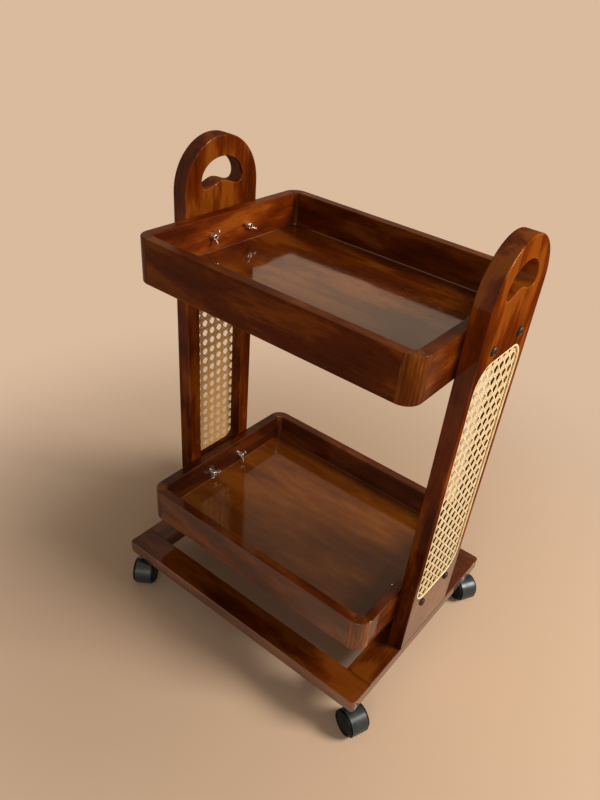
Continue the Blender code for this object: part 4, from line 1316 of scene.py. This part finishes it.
class CART_OT_wing_nuts(bpy.types.Operator):
    """Nickel wing nuts on the bolts, inside the trays"""

    bl_idname = "cart.wing_nuts"
    bl_label = "Wing Nuts"

    def execute(self, context):
        nickel = context.scene.cart_hardware.nickel
        material = hard_material("nickel", nickel, 0.15, 0.96, (0.30, 0.26, 0.20), 0.12, 0.1)
        seats = {}
        for place, tray, side, bolt in every_bolt():
            corner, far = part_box(f"{tray}_tray_wall_{side}")
            face = min(abs(corner.x), abs(far.x)) - PANEL_GAP
            seat = at(SIDES[side] * face, bolt.y, bolt.z)
            seats[place] = seat @ facing(-SIDES[side], WING_TURN_DEGREES[place])
        show_fasteners("wing_nut", self.wing_nut(), seats, material)
        return {"FINISHED"}

    @staticmethod
    def wing_nut():
        """A tapered hub with a flared foot, two rounded ears and a bore."""
        bore = BOLT_RADIUS + PANEL_GAP
        profile = [
            (bore, 0),
            (NUT_BASE_RADIUS, 0),
            (NUT_BASE_RADIUS, NUT_HEIGHT * 0.12),
            (NUT_BASE_RADIUS * 0.93, NUT_HEIGHT * 0.24),
            (NUT_TOP_RADIUS * 1.03, NUT_HEIGHT * 0.86),
            (NUT_TOP_RADIUS * 0.97, NUT_HEIGHT * 0.95),
            (NUT_TOP_RADIUS * 0.88, NUT_HEIGHT),
            (bore * 1.1, NUT_HEIGHT),
            (bore, NUT_HEIGHT * 0.95),
        ]
        hub = turned(profile, HOLE_SIDES, closed=True)
        tip = WING_SPAN / 2 - WING_RADIUS
        lean = math.degrees(math.atan2(WING_TIP_HEIGHT - WING_ROOT_HEIGHT, tip - WING_ROOT_RADIUS))
        ear = arc(tip, WING_TIP_HEIGHT, WING_RADIUS, lean - 90, lean + 90, CORNER_STEPS)
        root = (WING_ROOT_RADIUS + WING_ROOT_SHIFT, WING_ROOT_HEIGHT)
        ear += arc(*root, WING_RADIUS, lean + 115, lean + 245, WING_ROOT_STEPS)
        for half_turn in (0, 1):
            wing = plate([ear], WING_THICKNESS, WING_THICKNESS * 0.3)
            hub = combined(hub, placed(wing, Matrix.Rotation(half_turn * math.pi, 4, "Z") @ UPRIGHT), "UNION")
        return combined(hub, rod(bore, -bore, 3 * bore), "DIFFERENCE")


class CART_OT_casters(bpy.types.Operator):
    """Twin-wheel casters: a moulded hood and two wheels at each corner"""

    bl_idname = "cart.casters"
    bl_label = "Casters"

    def execute(self, context):
        settings = context.scene.cart_hardware
        hood_plastic = hard_material("hood_plastic", settings.hood, 0.27, dust_amount=0.14)
        wheel_plastic = hard_material("wheel_plastic", settings.wheel, 0.36, dust_amount=0.02, specular=0.12)
        steel = hard_material("stem_steel", settings.steel, 0.32, 1.0, (0.2, 0.18, 0.16), 0.2)
        for label in [f"{end}_{side}" for side in SIDES for end in ENDS]:
            kingpin = middle(f"caster_stem_{label}")
            axle = (middle(f"caster_wheel_{label}_a") + middle(f"caster_wheel_{label}_b")) / 2
            swivel = math.atan2(axle.y - kingpin.y, axle.x - kingpin.x)
            spot = at(kingpin.x, kingpin.y, 0) @ Matrix.Rotation(swivel, 4, "Z")
            name = f"hood_{label}"
            hood = harden(placed(self.hood(settings.edge), spot))
            show(f"{name}_shell", hood, hood_plastic, name, [f"caster_{name}"])
            for letter, sign in WHEELS.items():
                name = f"wheel_{label}_{letter}"
                hub = at(CASTER_TRAIL, 0, WHEEL_RADIUS) @ Matrix.Rotation(sign * math.pi / 2, 4, "X")
                wheel = harden(placed(self.wheel(), spot @ hub))
                show(f"{name}_disc", wheel, wheel_plastic, name, [f"caster_{name}"])
            name = f"stem_{label}"
            stem = harden(placed(self.stem(label), at(kingpin.x, kingpin.y, 0)))
            show(f"{name}_pin", stem, steel, "cart", [f"caster_{name}"])
        return {"FINISHED"}

    @staticmethod
    def stem(label):
        """The stem in the frame, the collar under it and the kingpin."""
        corner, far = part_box(f"caster_stem_{label}")
        top = frame_bottom() - PANEL_GAP
        bottom = top - COLLAR_HEIGHT
        radius = (far.x - corner.x) / 2
        chamfer = COLLAR_HEIGHT * 0.2
        profile = [
            (0, far.z),
            (STEM_RADIUS * 0.8, far.z),
            (STEM_RADIUS, far.z - STEM_RADIUS * 0.2),
            (STEM_RADIUS, top),
            (radius * 0.97, top),
            (radius, top - chamfer),
            (radius, bottom + chamfer),
            (radius * 0.97, bottom),
            (KINGPIN_RADIUS, bottom),
            (KINGPIN_RADIUS, corner.z),
            (0, corner.z),
        ]
        return turned(profile, LATHE_SIDES)

    @staticmethod
    def hood(edge):
        """A rounded band over both treads, on a web with the kingpin's boss and the axle."""
        centre = (CASTER_TRAIL, WHEEL_RADIUS)
        inner = WHEEL_RADIUS + HOOD_CLEARANCE
        outer = inner + HOOD_WALL
        band = arc(*centre, outer, *HOOD_DEGREES, ARCH_STEPS)
        band += arc(*centre, inner, *reversed(HOOD_DEGREES), ARCH_STEPS)
        pin_foot = low("caster_stem_front_left").z - PANEL_GAP
        top = pin_foot + BOSS_COVER
        boss = [(-BOSS_RADIUS, top - BOSS_DEPTH), (-BOSS_RADIUS, top), (BOSS_RADIUS, top)]
        rim = arc(*centre, outer - HOOD_WALL / 2, *WEB_RIM_DEGREES, ARCH_STEPS)
        hub = arc(*centre, WEB_HUB_RADIUS, *WEB_HUB_DEGREES, CORNER_STEPS)
        web = plate([boss + rim + hub], WEB_THICKNESS, edge / 2)
        shell = combined(placed(plate([band], HOOD_WIDTH, edge), UPRIGHT), placed(web, UPRIGHT), "UNION")
        reach = WEB_THICKNESS / 2 + WEB_GAP + WHEEL_WIDTH - AXLE_RECESS
        axle = placed(rod(AXLE_RADIUS, -reach, reach), at(CASTER_TRAIL, 0, WHEEL_RADIUS) @ UPRIGHT)
        bore = rod(KINGPIN_RADIUS + PANEL_GAP, pin_foot, frame_bottom())
        return combined(combined(shell, axle, "UNION"), bore, "DIFFERENCE")

    @staticmethod
    def wheel():
        """A wheel with a crowned tread, a raised rim, a groove and a cap over its axle."""
        inside = WEB_THICKNESS / 2 + WEB_GAP
        face = inside + WHEEL_WIDTH
        bore = AXLE_RADIUS + WEB_GAP
        profile = [(0, face - WHEEL_CAP), (bore, face - WHEEL_CAP), (bore, inside)]
        profile += [(WHEEL_RADIUS - inset, inside + depth) for inset, depth in WHEEL_INNER_RIM]
        profile += [(WHEEL_RADIUS - inset, face - depth) for inset, depth in WHEEL_OUTER_RIM]
        return turned(profile + [(0, face)], LATHE_SIDES)


def seen_directly(tree):
    """One for rays that show the backdrop, and zero for rays that carry light."""
    path = add(tree, "ShaderNodeLightPath")
    return path["Is Camera Ray"] | path["Is Glossy Ray"] | path["Is Transmission Ray"]


class CART_OT_stage(bpy.types.Operator):
    """A pale floor, soft studio light and the camera"""

    bl_idname = "cart.stage"
    bl_label = "Stage"

    def execute(self, context):
        settings = context.scene.cart_stage
        self.floor(settings)
        self.world(settings)
        for name, place, size, colour in LIGHTS:
            self.light(f"{name}_light", place, size, colour, getattr(settings, f"{name}_power"))
        self.camera()
        context.scene.view_settings.view_transform = "Standard"
        return {"FINISHED"}

    @staticmethod
    def floor(settings):
        half = settings.floor_size / 2
        mesh = bpy.data.meshes.new("floor")
        corners = [(-half, -half, 0), (half, -half, 0), (half, half, 0), (-half, half, 0)]
        mesh.from_pydata(corners, [], [range(4)])
        material, tree, shader = new_material("floor_paint")
        place = object_place(tree)
        paler = [value * 1.03 for value in settings.floor]
        colour = mixed(noise(place, (1.5, 1.5, 1.5), 3), settings.floor, paler)
        fill(shader, {"Base Color": colour, "Roughness": 0.6, "Specular IOR Level": 0.1})
        reach = place.vector("LENGTH")["Value"]
        far = ramp(reach, settings.pool_radius, settings.pool_radius + settings.fade_width)
        glow = add(tree, "ShaderNodeEmission", {"Color": settings.backdrop, "Strength": 1.0})
        mix = add(tree, "ShaderNodeMixShader", {0: far * seen_directly(tree), 1: Wire(shader), 2: glow})
        fill(tree.nodes["Material Output"], {"Surface": mix})
        mesh.materials.append(material)
        piece = bpy.data.objects.new("floor", mesh)
        bpy.context.scene.collection.objects.link(piece)

    @staticmethod
    def world(settings):
        world = bpy.data.worlds.new("studio")
        bpy.context.scene.world = world
        world.use_nodes = True
        tree = world.node_tree
        lit = tree.nodes["Background"]
        fill(lit, {"Color": AMBIENT_COLOUR, "Strength": settings.ambient})
        seen = add(tree, "ShaderNodeBackground", {"Color": settings.backdrop, "Strength": 1.0})
        mix = add(tree, "ShaderNodeMixShader", {0: seen_directly(tree), 1: Wire(lit), 2: seen})
        fill(tree.nodes["World Output"], {"Surface": mix})

    @staticmethod
    def light(name, place, size, colour, power):
        """A square light that faces the middle of the cart."""
        data = bpy.data.lights.new(name, "AREA")
        data.size = size
        data.energy = power
        data.color = colour
        lamp = bpy.data.objects.new(name, data)
        target = Vector((0, 0, high("side_panel_right").z / 2))
        aim = (Vector(place) - target).to_track_quat("Z", "Y").to_matrix().to_4x4()
        lamp.matrix_world = at(*place) @ aim
        bpy.context.scene.collection.objects.link(lamp)

    @staticmethod
    def camera():
        data = bpy.data.cameras.new("camera")
        data.sensor_width = SENSOR
        data.lens = CAMERA_FOCUS / PICTURE_HEIGHT * SENSOR
        data.shift_x = (PICTURE_WIDTH / 2 - OPTICAL_CENTRE[0]) / PICTURE_HEIGHT
        data.shift_y = (OPTICAL_CENTRE[1] - PICTURE_HEIGHT / 2) / PICTURE_HEIGHT
        camera = bpy.data.objects.new("camera", data)
        level = math.cos(CAMERA_PITCH)
        forward = Vector(
            (-math.sin(CAMERA_YAW) * level, math.cos(CAMERA_YAW) * level, -math.sin(CAMERA_PITCH))
        )
        right = Vector((math.cos(CAMERA_YAW), math.sin(CAMERA_YAW), 0))
        up = right.cross(forward)
        tilted_right = right * math.cos(CAMERA_ROLL) + up * math.sin(CAMERA_ROLL)
        tilted_up = up * math.cos(CAMERA_ROLL) - right * math.sin(CAMERA_ROLL)
        turn = Matrix((tilted_right, tilted_up, -forward)).transposed().to_4x4()
        camera.matrix_world = at(*CAMERA_PLACE) @ turn
        bpy.context.scene.collection.objects.link(camera)
        bpy.context.scene.camera = camera


class CART_PT_panel(bpy.types.Panel):
    """Lists the cart's pieces in the sidebar"""

    bl_label = "Bar Cart"
    bl_idname = "CART_PT_panel"
    bl_space_type = "VIEW_3D"
    bl_region_type = "UI"
    bl_category = "Bar Cart"

    def draw(self, context):
        for operator in OPERATORS:
            self.layout.operator(operator.bl_idname)
        for group in GROUPS:
            settings = getattr(context.scene, group)
            for name in settings.bl_rna.properties.keys():
                if name not in ("rna_type", "name"):
                    self.layout.prop(settings, name)


OPERATORS = (
    CART_OT_stage,
    CART_OT_base_frame,
    CART_OT_side_panels,
    CART_OT_cane,
    CART_OT_reed,
    CART_OT_trays,
    CART_OT_bolts,
    CART_OT_wing_nuts,
    CART_OT_casters,
)
GROUPS = {
    "cart_wood": CartWoodSettings,
    "cart_cane": CartCaneSettings,
    "cart_hardware": CartHardwareSettings,
    "cart_stage": CartStageSettings,
}


def register():
    for name, group in GROUPS.items():
        bpy.utils.register_class(group)
        setattr(bpy.types.Scene, name, PointerProperty(type=group))
    for operator in OPERATORS:
        bpy.utils.register_class(operator)
    bpy.utils.register_class(CART_PT_panel)


def unregister():
    bpy.utils.unregister_class(CART_PT_panel)
    for operator in reversed(OPERATORS):
        bpy.utils.unregister_class(operator)
    for name, group in GROUPS.items():
        delattr(bpy.types.Scene, name)
        bpy.utils.unregister_class(group)


def main():
    register()
    bpy.ops.cart.stage()
    bpy.ops.cart.base_frame()
    bpy.ops.cart.side_panels()
    bpy.ops.cart.cane()
    bpy.ops.cart.reed()
    bpy.ops.cart.trays()
    bpy.ops.cart.bolts()
    bpy.ops.cart.wing_nuts()
    bpy.ops.cart.casters()


if __name__ == "__main__":
    main()
